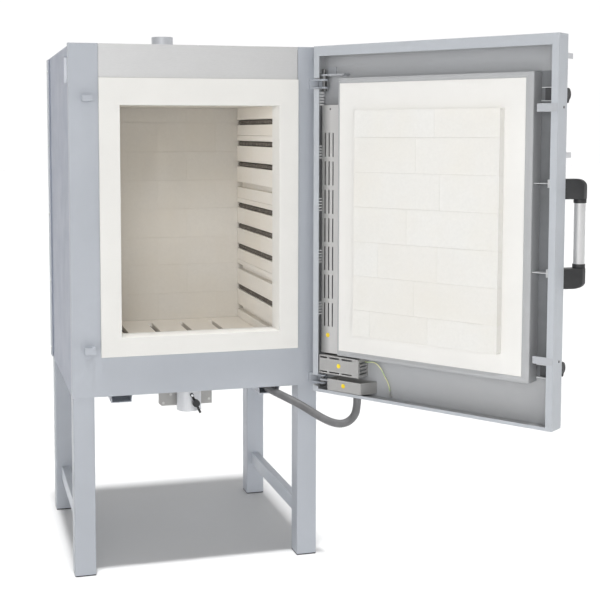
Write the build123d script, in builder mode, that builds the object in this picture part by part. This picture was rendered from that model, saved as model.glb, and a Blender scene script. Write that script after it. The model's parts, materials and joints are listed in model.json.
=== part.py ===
"""Chamber (muffle) furnace on a leg frame, door swung open.

Row frame: X to the right, Y to the back, Z up, millimetres.  The origin lies on the
floor, under the middle of the front face: y = 0 is the front of the frame.
Door pieces are drawn in "closed" coordinates on the DOOR plane, which turns them
about the hinge axis into the open rest position.
"""
import os
from math import cos, sin, radians, tan, pi, hypot
from build123d import *

os.makedirs("parts", exist_ok=True)

# ----------------------------------------------------------------- driving dimensions
H = 1760.0            # top edge of the front plates
WH = 419.0            # half width over the legs
LEG = 70.0            # square leg tube
TW = 3.0              # tube wall
D = 770.0             # depth over the legs
ZB = 603.0            # underside of the body
ZC = 1750.0           # top of the casing behind the front plates
SH = 2.5              # painted sheet
XS = 421.5            # half width over the side casings

# front collar and opening
CX0, CX1, CZ0, CZ1, CY = -326.0, 348.0, 735.0, 1650.0, -13.0
OX0, OX1, OZ0, OZ1 = -258.0, 281.0, 798.0, 1562.0
JAMB = 75.0           # y of the back of the jamb
# chamber
KX0, KX1, KY1, KZ0, KZ1 = -261.0, 284.0, 594.0, 751.0, 1565.0
BRICK = 115.0
FLOOR_T = 64.0
GROOVE_Z0, GROOVE_PITCH = 1509.2, 79.6
ROD_ROWS = (0, 1, 2, 4, 5, 6, 8)
ROD_R, SUP_R = 8.9, 5.5
LEAD_X = (KX0 - 10, KX1 + 10)
FLOOR_GX = (-192.0, -75.0, 42.0, 159.0)
EXH = (-14.0, 560.0)  # exhaust axis
EXH_R = 40.0
# hinge
HX, HY, OPEN = 428.5, -42.0, 126.4
PIN_R = 6.0
BORE_R = 6.08
# door, closed coordinates
PX0, PX1, PZ0, PZ1 = -422.0, 444.5, 592.0, 1759.0
PY0, PY1 = -70.0, -5.0           # back plate outside, rim front
FX0, FX1, FZ0, FZ1, FY = -343.0, 351.0, 724.0, 1652.0, -15.0
WX0, WX1, WZ0, WZ1 = -317.4, 346.0, 741.5, 1634.0
GX0, GX1, GZ0, GZ1, GY = -249.6, 269.0, 804.5, 1545.0, 15.0
LATCH_X, LATCH_ZT, LATCH_ZB = -408.0, 1583.0, 764.0
# conduit and earth wire
CON_D = 27.0
WIRE_D = 4.0
# air inlet
AIR = (-14.0, 90.0)
AIR_R = 42.0
FLAP_Z = 581.0
LEVER_TILT = 25.4     # lever off plumb in the rest position

# ----------------------------------------------------------------- helpers
_c, _s = cos(radians(OPEN)), sin(radians(OPEN))


def opened(x, y, z):
    """closed door coordinates -> row frame with the door open"""
    return Vector(HX + _c * (x - HX) - _s * (y - HY), HY + _s * (x - HX) + _c * (y - HY), z)


DOOR = Plane(origin=opened(0, 0, 0), x_dir=(_c, _s, 0), z_dir=(0, 0, 1))


def door_face(y, z=0.0):
    """upright door plane at closed y; local x, y are closed x and z; normal outwards"""
    return Plane(origin=opened(0, y, z), x_dir=(_c, _s, 0), z_dir=(_s, -_c, 0))


def front(y):
    """upright plane at y; local x, y are X and Z; normal towards the front"""
    return Plane(origin=(0, y, 0), x_dir=(1, 0, 0), z_dir=(0, -1, 0))


def side(x):
    """upright plane at x; local x, y are Y and Z; normal towards +X"""
    return Plane(origin=(x, 0, 0), x_dir=(0, 1, 0), z_dir=(1, 0, 0))


def door_side(x):
    """upright plane across the door at closed x; local x, y are closed y and z"""
    return Plane(origin=opened(x, 0, 0), x_dir=(-_s, _c, 0), z_dir=(_c, _s, 0))


def rect(x0, x1, y0, y1, mode=Mode.ADD, r=0.0):
    with Locations(((x0 + x1) / 2, (y0 + y1) / 2)):
        if r > 0:
            RectangleRounded(x1 - x0, y1 - y0, r, mode=mode)
        else:
            Rectangle(x1 - x0, y1 - y0, mode=mode)


def block(x0, x1, y0, y1, z0, z1, mode=Mode.ADD):
    with Locations(((x0 + x1) / 2, (y0 + y1) / 2, (z0 + z1) / 2)):
        Box(x1 - x0, y1 - y0, z1 - z0, mode=mode)


def rod_y(x, z, y0, y1, r, mode=Mode.ADD):
    with Locations((x, (y0 + y1) / 2, z)):
        Cylinder(r, y1 - y0, rotation=(90, 0, 0), mode=mode)


def rod_z(x, y, z0, z1, r, mode=Mode.ADD):
    with Locations((x, y, (z0 + z1) / 2)):
        Cylinder(r, z1 - z0, mode=mode)


NODES = []


def done(builder, name):
    builder.part.label = name
    export_step(builder.part, f"parts/{name}.step")
    NODES.append(name)


# ================================================================= leg frame
with BuildPart() as leg_front_left:
    with BuildSketch(Plane.XY.offset(4)):
        rect(-WH, -WH + LEG, 0, LEG, r=5)
        rect(-WH + TW, -WH + LEG - TW, TW, LEG - TW, Mode.SUBTRACT, r=2.5)
    extrude(amount=ZB - 4)
done(leg_front_left, "leg_front_left")

with BuildPart() as leg_front_right:
    with BuildSketch(Plane.XY.offset(4)):
        rect(WH - LEG, WH, 0, LEG, r=5)
        rect(WH - LEG + TW, WH - TW, TW, LEG - TW, Mode.SUBTRACT, r=2.5)
    extrude(amount=ZB - 4)
done(leg_front_right, "leg_front_right")

with BuildPart() as leg_rear_left:
    with BuildSketch(Plane.XY.offset(4)):
        rect(-WH, -WH + LEG, D - LEG, D, r=5)
        rect(-WH + TW, -WH + LEG - TW, D - LEG + TW, D - TW, Mode.SUBTRACT, r=2.5)
    extrude(amount=ZB - 4)
done(leg_rear_left, "leg_rear_left")

with BuildPart() as leg_rear_right:
    with BuildSketch(Plane.XY.offset(4)):
        rect(WH - LEG, WH, D - LEG, D, r=5)
        rect(WH - LEG + TW, WH - TW, D - LEG + TW, D - TW, Mode.SUBTRACT, r=2.5)
    extrude(amount=ZB - 4)
done(leg_rear_right, "leg_rear_right")

with BuildPart() as foot_plates:
    with BuildSketch(Plane.XY):
        for cx in (-WH + LEG / 2, WH - LEG / 2):
            for cy in (LEG / 2, D - LEG / 2):
                with Locations((cx, cy)):
                    RectangleRounded(LEG - 1, LEG - 1, 5)
    extrude(amount=4)
done(foot_plates, "foot_plates")

with BuildPart() as side_stretchers:
    with BuildSketch(front(LEG)):
        for cx in (-382.5, 382.5):
            with Locations((cx, 146)):
                RectangleRounded(30, 50, 3)
                RectangleRounded(25, 45, 1.5, mode=Mode.SUBTRACT)
    extrude(amount=-(D - 2 * LEG))
done(side_stretchers, "side_stretchers")

RZ = ZB + 40.0
with BuildPart() as base_rails:
    with BuildSketch(front(0.5)):
        for sx in (-1, 1):
            x0, x1 = sorted((sx * WH, sx * (WH - 60)))
            rect(x0, x1, ZB, RZ, r=3)
            rect(x0 + TW, x1 - TW, ZB + TW, RZ - TW, Mode.SUBTRACT)
    extrude(amount=-(D - 1))
    with BuildSketch(side(-WH + 60.1)):
        for y0, y1 in ((0.5, 45), (355, 405), (D - 50, D - 0.5)):
            rect(y0, y1, ZB, RZ, r=3)
            rect(y0 + TW, y1 - TW, ZB + TW, RZ - TW, Mode.SUBTRACT)
    extrude(amount=2 * WH - 120.2)
done(base_rails, "base_rails")

# ================================================================= casing
with BuildPart() as front_plate:
    with BuildSketch(front(0)):
        rect(-XS - 0.5, CX0, ZB, H)
        rect(CX1, XS + 0.5, ZB, H)
        rect(-XS - 0.5, XS + 0.5, ZB, CZ0)
    extrude(amount=SH)
    for x0 in (-XS - 0.5, XS + 0.5 - SH):
        block(x0, x0 + SH, 0, 25, ZB + 1, H)
    block(-XS - 0.5, CX0, 0, 25, H - SH, H)
    block(CX1, XS + 0.5, 0, 25, H - SH, H)
    edges_out = front_plate.edges().filter_by(Axis.Z).group_by(Axis.Y)[0]
    fillet([e for e in edges_out if abs(abs(e.center().X) - XS - 0.5) < 0.1], 1.2)
done(front_plate, "front_plate")

with BuildPart() as header_panel:
    with BuildSketch(front(1)):
        rect(CX0 + 0.6, CX1 - 0.6, CZ1 + 0.8, H - 0.3)
    extrude(amount=SH - 0.3)
    block(CX0 + 0.6, CX1 - 0.6, 1, 25, H - 0.3 - SH, H - 0.3)
done(header_panel, "header_panel")

with BuildPart() as left_casing:
    block(-XS, -XS + SH, 25.6, D - 1, ZB + 1, ZC)
    block(-XS, -XS + 25, D - 1 - SH, D - 1, ZB + 45, ZC)
    block(-XS, -XS + 25, 25.6, D - 1, ZC - SH, ZC)
    block(-XS + SH, -XS + 14, 43, 147, 1632, 1725)
    block(-XS - 1, -XS + 14 - SH, 45.5, 144.5, 1634.5, 1722.5, mode=Mode.SUBTRACT)
done(left_casing, "left_casing")

with BuildPart() as right_casing:
    block(XS - SH, XS, 25.6, D - 1, ZB + 1, ZC)
    block(XS - 25, XS, D - 1 - SH, D - 1, ZB + 45, ZC)
    block(XS - 25, XS, 25.6, D - 1, ZC - SH, ZC)
    block(XS - 14, XS - SH, 43, 147, 1632, 1725)
    block(XS - 14 + SH, XS + 1, 45.5, 144.5, 1634.5, 1722.5, mode=Mode.SUBTRACT)
done(right_casing, "right_casing")

with BuildPart() as top_cover:
    block(-XS + 1, XS - 1, 25.6, D - 1, ZC, ZC + SH)
    rod_z(EXH[0], EXH[1], ZC - 1, ZC + SH + 1, EXH_R + 1.5, mode=Mode.SUBTRACT)
done(top_cover, "top_cover")

RCX = 427.5
with BuildPart() as rear_cover:
    with BuildSketch(side(-RCX)):
        rect(700, D + 3, 606, 1748)
    extrude(amount=2 * RCX)
    lower = rear_cover.edges().filter_by(Axis.X).group_by(Axis.Z)[0].sort_by(Axis.Y)[:1]
    fillet(lower, 12)
    block(-RCX + SH, RCX - SH, 690, D + 0.5, 600, 1760, mode=Mode.SUBTRACT)
    with BuildSketch(front(D + 4)):
        for cx in (-350, 350):
            for k in range(9):
                with Locations((cx, 700 + 14 * k), (cx, 1540 + 14 * k)):
                    SlotOverall(90, 5)
        rect(-302, 302, 700, 1600)
        with Locations((352, 665)):
            Circle(15.1)
    extrude(amount=6, mode=Mode.SUBTRACT)
done(rear_cover, "rear_cover")

with BuildPart() as rear_housing:
    block(-312, 312, D + 3, D + 58, 688, 1612)
    fillet(rear_housing.edges().filter_by(Axis.Z).group_by(Axis.Y)[-1], 5)
    block(-312 + SH, 312 - SH, D, D + 58 - SH, 688 + SH, 1612 - SH, mode=Mode.SUBTRACT)
    with BuildSketch(front(D + 60)):
        for cx in (-200, 0, 200):
            for k in range(8):
                with Locations((cx, 1480 + 14 * k), (cx, 722 + 14 * k)):
                    SlotOverall(120, 5)
    extrude(amount=6, mode=Mode.SUBTRACT)
done(rear_housing, "rear_housing")

# ================================================================= insulation and chamber
with BuildPart() as collar:
    with BuildSketch(front(JAMB)):
        rect(CX0, CX1, CZ0, CZ1)
        rect(OX0, OX1, OZ0, OZ1, Mode.SUBTRACT)
    extrude(amount=JAMB - CY)
    fillet(collar.edges().filter_by(Plane.XZ).group_by(Axis.Y)[0], 1.5)
done(collar, "collar")

with BuildPart() as chamber_left_wall:
    block(KX0 - BRICK, KX0, JAMB + 0.5, KY1 - 0.5, KZ0, KZ1)
    for k in range(10):
        z = GROOVE_Z0 - k * GROOVE_PITCH
        block(KX0 - 21, KX0 + 1, 88, KY1, z - 9, z + 11, mode=Mode.SUBTRACT)
done(chamber_left_wall, "chamber_left_wall")

with BuildPart() as chamber_right_wall:
    block(KX1, KX1 + BRICK, JAMB + 0.5, KY1 - 0.5, KZ0, KZ1)
    for k in range(10):
        z = GROOVE_Z0 - k * GROOVE_PITCH
        block(KX1 - 1, KX1 + 21, 88, KY1, z - 9, z + 11, mode=Mode.SUBTRACT)
done(chamber_right_wall, "chamber_right_wall")

TC = (-205.0, 1330.0)
with BuildPart() as chamber_back_wall:
    block(KX0 - BRICK, KX1 + BRICK, KY1, KY1 + BRICK, KZ0, KZ1)
    rod_y(TC[0], TC[1], KY1 - 1, KY1 + BRICK + 1, 8, mode=Mode.SUBTRACT)
    for k in ROD_ROWS:
        for x in LEAD_X:
            rod_y(x, GROOVE_Z0 - k * GROOVE_PITCH, KY1 - 1, KY1 + BRICK + 1, 5.5, mode=Mode.SUBTRACT)
done(chamber_back_wall, "chamber_back_wall")

with BuildPart() as chamber_roof:
    block(KX0 - BRICK, KX1 + BRICK, JAMB + 0.5, KY1 + BRICK, KZ1 + 0.3, KZ1 + BRICK)
    rod_z(EXH[0], EXH[1] - 6, KZ1 - 1, KZ1 + BRICK + 1, 26, mode=Mode.SUBTRACT)
done(chamber_roof, "chamber_roof")

with BuildPart() as chamber_floor:
    block(KX0 - BRICK, KX1 + BRICK, JAMB + 0.5, KY1 + BRICK, KZ0 - FLOOR_T, KZ0 - 0.3)
    for gx in FLOOR_GX:
        block(gx - 9, gx + 9, 141, 528, KZ0 - 24, KZ0 + 1, mode=Mode.SUBTRACT)
done(chamber_floor, "chamber_floor")

IZ0, IZ1, IX = RZ + 3.5, ZC - SH - 1, XS - SH - 1
with BuildPart() as backup_insulation:
    block(-IX, KX0 - BRICK - 0.5, JAMB + 0.5, KY1 + BRICK, IZ0, IZ1)
    block(KX1 + BRICK + 0.5, IX, JAMB + 0.5, KY1 + BRICK, IZ0, IZ1)
    block(-IX, IX, KY1 + BRICK + 0.5, KY1 + BRICK + 42, IZ0, IZ1)
    block(KX0 - BRICK, KX1 + BRICK, JAMB + 0.5, KY1 + BRICK, IZ0, KZ0 - FLOOR_T - 0.5)
    block(KX0 - BRICK, KX1 + BRICK, JAMB + 0.5, KY1 + BRICK, KZ1 + BRICK + 0.5, IZ1)
    block(-IX, CX0 - 0.5, 0.5, JAMB, IZ0, IZ1)
    block(CX1 + 0.5, IX, 0.5, JAMB, IZ0, IZ1)
    block(CX0, CX1, 3, JAMB, IZ0, CZ0 - 0.5)
    block(CX0, CX1, 3, JAMB, CZ1 + 0.5, IZ1)
    rod_z(EXH[0], EXH[1], KZ1 + BRICK, IZ1 + 1, EXH_R + 1, mode=Mode.SUBTRACT)
    for i, k in enumerate(ROD_ROWS):
        z = GROOVE_Z0 - k * GROOVE_PITCH
        for x in LEAD_X:
            rod_y(x, z, KY1 + BRICK, KY1 + BRICK + 50, 5.5, mode=Mode.SUBTRACT)
    rod_y(TC[0], TC[1], KY1 + BRICK, KY1 + BRICK + 50, 8, mode=Mode.SUBTRACT)
    block(-XS, -XS + 14.5, 42, 148, 1631, 1726, mode=Mode.SUBTRACT)
    block(XS - 14.5, XS, 42, 148, 1631, 1726, mode=Mode.SUBTRACT)
done(backup_insulation, "backup_insulation")

with BuildPart() as floor_sheet:
    block(-XS + SH + 0.5, XS - SH - 0.5, 2, D - 4, RZ, RZ + 3)
done(floor_sheet, "floor_sheet")

# ----- heating: ceramic support tubes with wire spirals lying in the wall grooves
with BuildPart() as element_support_tubes:
    for k in ROD_ROWS:
        z = GROOVE_Z0 - k * GROOVE_PITCH
        rod_y(KX0 - 10, z, 89, KY1 - 13, SUP_R)
        rod_y(KX1 + 10, z, 89, KY1 - 13, SUP_R)
done(element_support_tubes, "element_support_tubes")

with BuildPart() as element_coils:
    for k in ROD_ROWS:
        z = GROOVE_Z0 - k * GROOVE_PITCH
        for x in (KX0 - 10, KX1 + 10):
            rod_y(x, z, 94, KY1 - 18, ROD_R)
            rod_y(x, z, 93, KY1 - 17, SUP_R + 0.2, mode=Mode.SUBTRACT)
done(element_coils, "element_coils")

with BuildPart() as floor_elements:
    for gx in FLOOR_GX:
        rod_y(gx, KZ0 - 16.7, 148, 521, 7.0)
done(floor_elements, "floor_elements")

with BuildPart() as element_leads:
    for k in ROD_ROWS:
        z = GROOVE_Z0 - k * GROOVE_PITCH
        for x in LEAD_X:
            rod_y(x, z, KY1 - 12.5, D + 30, 4)
done(element_leads, "element_leads")

with BuildPart() as thermocouple:
    rod_y(TC[0], TC[1], KY1 - 45, D + 14, 6)
    rod_y(TC[0], TC[1], D + 14, D + 44, 17)
done(thermocouple, "thermocouple")

# ================================================================= top and underside fittings
with BuildPart() as exhaust_stub:
    with BuildSketch(Plane.XY.offset(KZ1 + BRICK + 1)):
        with Locations(EXH):
            Circle(EXH_R)
            Circle(EXH_R - 2, mode=Mode.SUBTRACT)
    extrude(amount=1828 - (KZ1 + BRICK + 1))
    with BuildSketch(Plane.XY.offset(ZC + SH)):
        with Locations(EXH):
            RectangleRounded(124, 124, 8)
            Circle(EXH_R - 1, mode=Mode.SUBTRACT)
            with GridLocations(100, 100, 2, 2):
                Circle(2.6, mode=Mode.SUBTRACT)
    extrude(amount=2)
done(exhaust_stub, "exhaust_stub")

CHZ = 568.0
CHY0, CHY1 = 60.0, 420.0


# two hat-section channels under the body, open at both ends
with BuildPart() as underside_channels:
    for x0, w in ((-286.0, 70.0), (227.0, 74.0)):
        with BuildSketch(front(CHY0)):
            with BuildLine():
                Polyline((x0 - 14, ZB - 0.1), (x0, ZB - 0.1), (x0 + 4, CHZ + 0.1), (x0 + w - 4, CHZ + 0.1), (x0 + w, ZB - 0.1), (x0 + w + 14, ZB - 0.1),
                         (x0 + w + 14, ZB - 2.6), (x0 + w + 2.6, ZB - 2.6), (x0 + w - 1.4, CHZ - 2.5), (x0 + 1.4, CHZ - 2.5), (x0 - 2.6, ZB - 2.6), (x0 - 14, ZB - 2.6), close=True)
            make_face()
        extrude(amount=-(CHY1 - CHY0))
done(underside_channels, "underside_channels")

AX, AY = AIR
with BuildPart() as air_inlet_tube:
    with BuildSketch(Plane.XY.offset(522)):
        with Locations(AIR):
            Circle(AIR_R)
            Circle(AIR_R - 1.5, mode=Mode.SUBTRACT)
    extrude(amount=640 - 522)
    with Locations((AX, AY, FLAP_Z)):
        Cylinder(4.1, 120, rotation=(90, 0, 0), mode=Mode.SUBTRACT)
done(air_inlet_tube, "air_inlet_tube")

with BuildPart() as air_inlet_plate:
    with BuildSketch(front(AY + AIR_R + 2.55)):
        with BuildLine():
            Polyline((-112, 600), (-112, 537), (-102, 527), (76, 527), (76, 600), close=True)
        make_face()
        with Locations((-96, 537), (-70, 566), (66, 543), (66, 585), (-96, 585)):
            Circle(2.6, mode=Mode.SUBTRACT)
    extrude(amount=2.5)
    block(-112, 76, AY + AIR_R + 0.05, AY + AIR_R + 24, 600, 602.5)
done(air_inlet_plate, "air_inlet_plate")

with BuildPart() as latch_catches:
    for z0, z1 in ((LATCH_ZT - 9, LATCH_ZT + 9), (LATCH_ZB - 13, LATCH_ZB + 9)):
        block(-381, -347, -8, -SH - 0.1, z0, z1)
        block(-357, -347, -34, -8, z0, z1)
        block(-381, -357, -34, -28, z0, z1)
done(latch_catches, "latch_catches")

# ================================================================= hinges, body side
TB0, TB1 = 1619.0, 1651.0
BB0, BB1 = 614.0, 646.0
with BuildPart() as hinge_brackets:
    for b0, b1 in ((TB0, TB1), (BB0, BB1)):
        for z0, z1 in ((b0, b0 + 6), (b1 - 6, b1)):
            with BuildSketch(Plane.XY.offset(z0)):
                with BuildLine():
                    Polyline((388, -SH - 0.1), (418, -SH - 0.1), (441, -34), (HX + 2, HY - 11), (HX - 11, HY - 6), close=True)
                make_face()
                with Locations((HX, HY)):
                    Circle(13)
                    Circle(PIN_R, mode=Mode.SUBTRACT)
            extrude(amount=z1 - z0)
        block(388, 418, -12, -SH - 0.1, b0, b1)
        with BuildSketch(Plane.XY.offset(b0)):
            with BuildLine():
                Polyline((418, -SH - 0.1), (433, -23.2), (430.8, -24.6), (414.5, -SH - 0.1), close=True)
            make_face()
        extrude(amount=b1 - b0)
done(hinge_brackets, "hinge_brackets")

STRAP_T = (1661.0, 1667.0)
STRAP_B = (626.0, 632.0)
with BuildPart() as hinge_bolts:
    rod_z(HX, HY, TB0 - 9, 1684, PIN_R)
    with BuildSketch(Plane.XY.offset(TB0 - 8)):
        with Locations((HX, HY)):
            RegularPolygon(10, 6)
    extrude(amount=8)
    rod_z(HX, HY, BB0 - 9, BB1 + 4, PIN_R)
    with BuildSketch(Plane.XY.offset(BB0 - 8)):
        with Locations((HX, HY)):
            RegularPolygon(10, 6)
    extrude(amount=8)
    for z0, z1 in ((TB1, STRAP_T[0] - 0.4), (BB0 + 6, STRAP_B[0] - 0.4)):
        rod_z(HX, HY, z0, z1, 11)
done(hinge_bolts, "hinge_bolts")

with BuildPart() as supply_gland:
    with BuildSketch(front(D + 3)):
        with Locations((352, 665)):
            RegularPolygon(19, 6)
    extrude(amount=-10)
    rod_y(352, 665, D + 13, D + 34, 14)
    rod_y(352, 665, D - 12, D + 3, 15)
    rod_y(352, 665, D - 13, D + 35, 9, mode=Mode.SUBTRACT)
done(supply_gland, "supply_gland")

# screws: casing, rear cover, rear housing, exhaust flange, inlet plate
with BuildPart() as casing_screws:
    for z in (640, 900, 1160, 1420, 1700):
        for sx in (-1, 1):
            for y in (730,):
                with Locations((sx * (RCX + 1.0), y, z)):
                    Cylinder(5, 2.0, rotation=(0, 90, 0))
    for z in (760, 1150, 1540):
        for x in (-298, 298):
            rod_y(x, z, D + 58, D + 60, 5)
    for ex in (-50, 50):
        for ey in (-50, 50):
            rod_z(EXH[0] + ex, EXH[1] + ey, ZC + SH + 2, ZC + SH + 4.5, 4.5)
    for x, z in ((-96, 537), (-70, 566), (66, 543)):
        rod_y(x, z, AY + AIR_R - 2, AY + AIR_R, 4.5)
done(casing_screws, "casing_screws")

# ================================================================= door
with BuildPart(DOOR) as door_pan:
    block(PX0, PX1, PY0, PY1, PZ0, PZ1)
    block(PX0 + SH, PX1 - SH, PY0 + SH, PY1 - SH, PZ0 + SH, PZ1 - SH, mode=Mode.SUBTRACT)
    block(-401, 423.5, PY1 - SH - 1, PY1 + 1, 602, 1726, mode=Mode.SUBTRACT)
    # hinge notches through the rim and the hinge-side wall
    block(401, PX1 + 1, -64, PY1 + 1, 1616, 1654, mode=Mode.SUBTRACT)
    block(401, PX1 + 1, -64, PY1 + 1, 611, 649, mode=Mode.SUBTRACT)
    # ventilation slots in the hinge-side wall
    for zc in (1584, 1405, 1227, 1050, 872):
        for j in range(5):
            z = zc + (j - 2) * 10
            block(PX1 - SH - 1, PX1 + 1, -64, -34, z - 2.0, z + 2.0, mode=Mode.SUBTRACT)
    # conduit hole, latch shaft holes, handle and side screw holes
    rod_z(285, -38, PZ0 - 1, PZ0 + SH + 1, 16, mode=Mode.SUBTRACT)
    for z in (LATCH_ZT, LATCH_ZB):
        rod_y(LATCH_X, z, PY0 - 1, PY0 + SH + 1, 6.08, mode=Mode.SUBTRACT)
    outer = door_pan.edges().filter_by(Axis.Z).filter_by(lambda e: e.length > 1100)
    outer = outer.sort_by(lambda e: (e.center() - opened(PX0, PY0, e.center().Z)).length)[:1]
    fillet(outer, 2.0)
done(door_pan, "door_pan")

with BuildPart(DOOR) as door_panel_frame:
    block(FX0, FX1, PY0 + SH, FY, FZ0, FZ1)
    block(FX0 + SH, FX1 - SH, PY0, FY - SH, FZ0 + SH, FZ1 - SH, mode=Mode.SUBTRACT)
    block(WX0, WX1, FY - SH - 1, FY + 1, WZ0, WZ1, mode=Mode.SUBTRACT)
done(door_panel_frame, "door_panel_frame")

with BuildPart(DOOR) as door_insulation:
    block(FX0 + SH + 0.3, FX1 - SH - 0.3, PY0 + SH + 0.3, FY - SH - 0.3, FZ0 + SH + 0.3, FZ1 - SH - 0.3)
    block(WX0 + 0.3, WX1 - 0.3, FY - SH - 1, FY, WZ0 + 0.3, WZ1 - 0.3)
done(door_insulation, "door_insulation")

COURSES = [GZ1, 1457.0, 1343.5, 1230.5, 1116.5, 1004.5, 891.5, GZ0]
with BuildPart(DOOR) as door_plug:
    block(GX0, GX1, FY + 0.1, GY, GZ0, GZ1)
    fillet(door_plug.edges().filter_by(lambda e: abs(DOOR.to_local_coords(e.center()).Y - GY) < 0.01), 3.0)
    for z in COURSES[1:-1]:
        block(GX0 - 1, GX1 + 1, GY - 1.2, GY + 1, z - 0.6, z + 0.6, mode=Mode.SUBTRACT)
    for i in range(7):
        for x in ((-29.0, 202.0) if i % 2 == 0 else (-183.0, 42.0)):
            block(x - 0.6, x + 0.6, GY - 1.2, GY + 1, COURSES[i + 1], COURSES[i], mode=Mode.SUBTRACT)
done(door_plug, "door_plug")

with BuildPart(DOOR) as duct_cover:
    block(353, 421, PY0 + SH, -20, 727, 1564)
    block(354.5, 419.5, PY0, -21.5, 728.5, 1562.5, mode=Mode.SUBTRACT)
    for g in range(7):
        z1 = 1471 - 95.5 * g
        for x in (376, 392, 408):
            block(x - 2.2, x + 2.2, -23, -19, z1 - 80, z1, mode=Mode.SUBTRACT)
done(duct_cover, "duct_cover")

with BuildPart(DOOR) as terminal_box:
    block(262, 420, PY0 + SH, -8, 658, 720)
    block(263.5, 418.5, PY0, -9.5, 659.5, 718.5, mode=Mode.SUBTRACT)
    for x0, x1 in ((388, 418), (339, 379), (288, 329)):
        block(x0, x1, -11, -7, 710.3, 715.8, mode=Mode.SUBTRACT)
        block(x0, x1, -11, -7, 662.5, 666.5, mode=Mode.SUBTRACT)
    for z in (668, 680, 692, 704):
        block(261, 264.5, -58, -18, z - 1, z + 5, mode=Mode.SUBTRACT)
done(terminal_box, "terminal_box")

with BuildPart(DOOR) as terminal_tray:
    block(250, 386, PY0 + SH + 0.1, -7.8, 603, 642)
    block(251.5, 384.5, PY0 + SH + 1.6, -9.3, 604.5, 643, mode=Mode.SUBTRACT)
    rod_z(285, -38, 602, 606, 15, mode=Mode.SUBTRACT)
done(terminal_tray, "terminal_tray")

with BuildPart(DOOR) as conduit_nut:
    with BuildSketch(DOOR.offset(604.7)):
        with Locations((285, -38)):
            RegularPolygon(21, 6)
            Circle(10, mode=Mode.SUBTRACT)
    extrude(amount=9)
    rod_z(285, -38, PZ0 + 5, 604.7, 14.5)
    rod_z(285, -38, PZ0 + 4, 606, 10, mode=Mode.SUBTRACT)
done(conduit_nut, "conduit_nut")

with BuildPart(DOOR) as hinge_straps:
    with BuildSketch(DOOR.offset(STRAP_T[0])):
        rect(341, HX, PY0 + SH, HY + 12)
        with Locations((HX, HY)):
            Circle(12)
            Circle(BORE_R, mode=Mode.SUBTRACT)
    extrude(amount=6)
    with BuildSketch(DOOR.offset(STRAP_B[0])):
        rect(394, HX, PY0 + SH, HY + 12)
        with Locations((HX, HY)):
            Circle(12)
            Circle(BORE_R, mode=Mode.SUBTRACT)
    extrude(amount=6)
    for z0, z1 in ((STRAP_T[0] + 6, STRAP_T[0] + 30), (STRAP_B[0] - 14, STRAP_B[0] - 0)):
        block(394, HX, PY0 + SH, PY0 + SH + 5, z0, z1)
done(hinge_straps, "hinge_straps")

with BuildPart(DOOR) as latch_guides:
    for z0, z1 in ((1533, 1557), (790, 812)):
        block(PX0 + 1, -358, PY1, PY1 + 1.9, z0, z1)
done(latch_guides, "latch_guides")

with BuildPart(DOOR) as latch_stiffeners:
    for zc in (1584.5, 764):
        block(-398, -360, PY0 + SH, -27, zc + 18.5, zc + 20.5)
        block(-398, -360, PY0 + SH, -27, zc - 20.5, zc - 18.5)
        block(-384, -366, PY0 + SH, -41, zc - 18.5, zc + 18.5)
    for z in (1323, 1058):
        block(-398, FX0, PY0 + SH, -24, z - 1, z + 1)
        block(-398, -386, PY0 + SH, -24, z - 12, z + 12)
done(latch_stiffeners, "latch_stiffeners")

# handle: grip offset outwards past the free edge, on two cast feet
GRX, GRY, GRR = -442.0, -129.0, 16.5
with BuildPart(DOOR) as handle_brackets:
    for z0, z1 in ((1276, 1336), (1009, 1069)):
        with BuildSketch(DOOR.offset(z0)) as arm:
            with BuildLine():
                Polyline((-395, PY0 - 0.1), (-420, PY0 - 0.1), (-461, -114), (-461, -139), (-452, -148.5), (-432, -148.5), (-395, -102), close=True)
            make_face()
            fillet(arm.vertices().filter_by(lambda v: v.Y < -105), 4.5)
        extrude(amount=z1 - z0)
    for z0, z1 in ((1263, 1277), (1068, 1082)):
        rod_z(GRX, GRY, z0, z1, 19)
    rod_z(GRX, GRY, 1040, 1305, GRR + 0.1, mode=Mode.SUBTRACT)
done(handle_brackets, "handle_brackets")

with BuildPart(DOOR) as handle_tube:
    with BuildSketch(DOOR.offset(1040)):
        with Locations((GRX, GRY)):
            Circle(GRR)
            Circle(GRR - 2, mode=Mode.SUBTRACT)
    extrude(amount=265)
done(handle_tube, "handle_tube")

with BuildPart(DOOR) as hook_tabs:
    for z in (1696, 1406):
        block(-421, -401, PY0 - 3, PY0 - 0.1, z - 9, z + 9)
        block(-421, -418, -106, PY0 - 0.1, z - 8, z + 8)
        rod_y(-411, z, PY0 - 4, PY0 + 1, 2.2, mode=Mode.SUBTRACT)
done(hook_tabs, "hook_tabs")

# ----- quarter-turn latches: wing knob outside, shaft and tongue inside
with BuildPart(DOOR) as latch_knob_top:
    rod_y(LATCH_X, LATCH_ZT, -86, PY0 - 0.4, 12)
    with BuildSketch(door_side(LATCH_X - 5)):
        with BuildLine():
            Polyline((-86, LATCH_ZT - 12), (-96, LATCH_ZT - 23), (-108, LATCH_ZT - 20), (-120, LATCH_ZT - 2),
                     (-114, LATCH_ZT + 10), (-98, LATCH_ZT + 22), (-86, LATCH_ZT + 12), close=True)
        make_face()
    extrude(amount=10)
    rod_y(LATCH_X, LATCH_ZT, -80, PY0, 6.05, mode=Mode.SUBTRACT)
done(latch_knob_top, "latch_knob_top")

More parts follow.
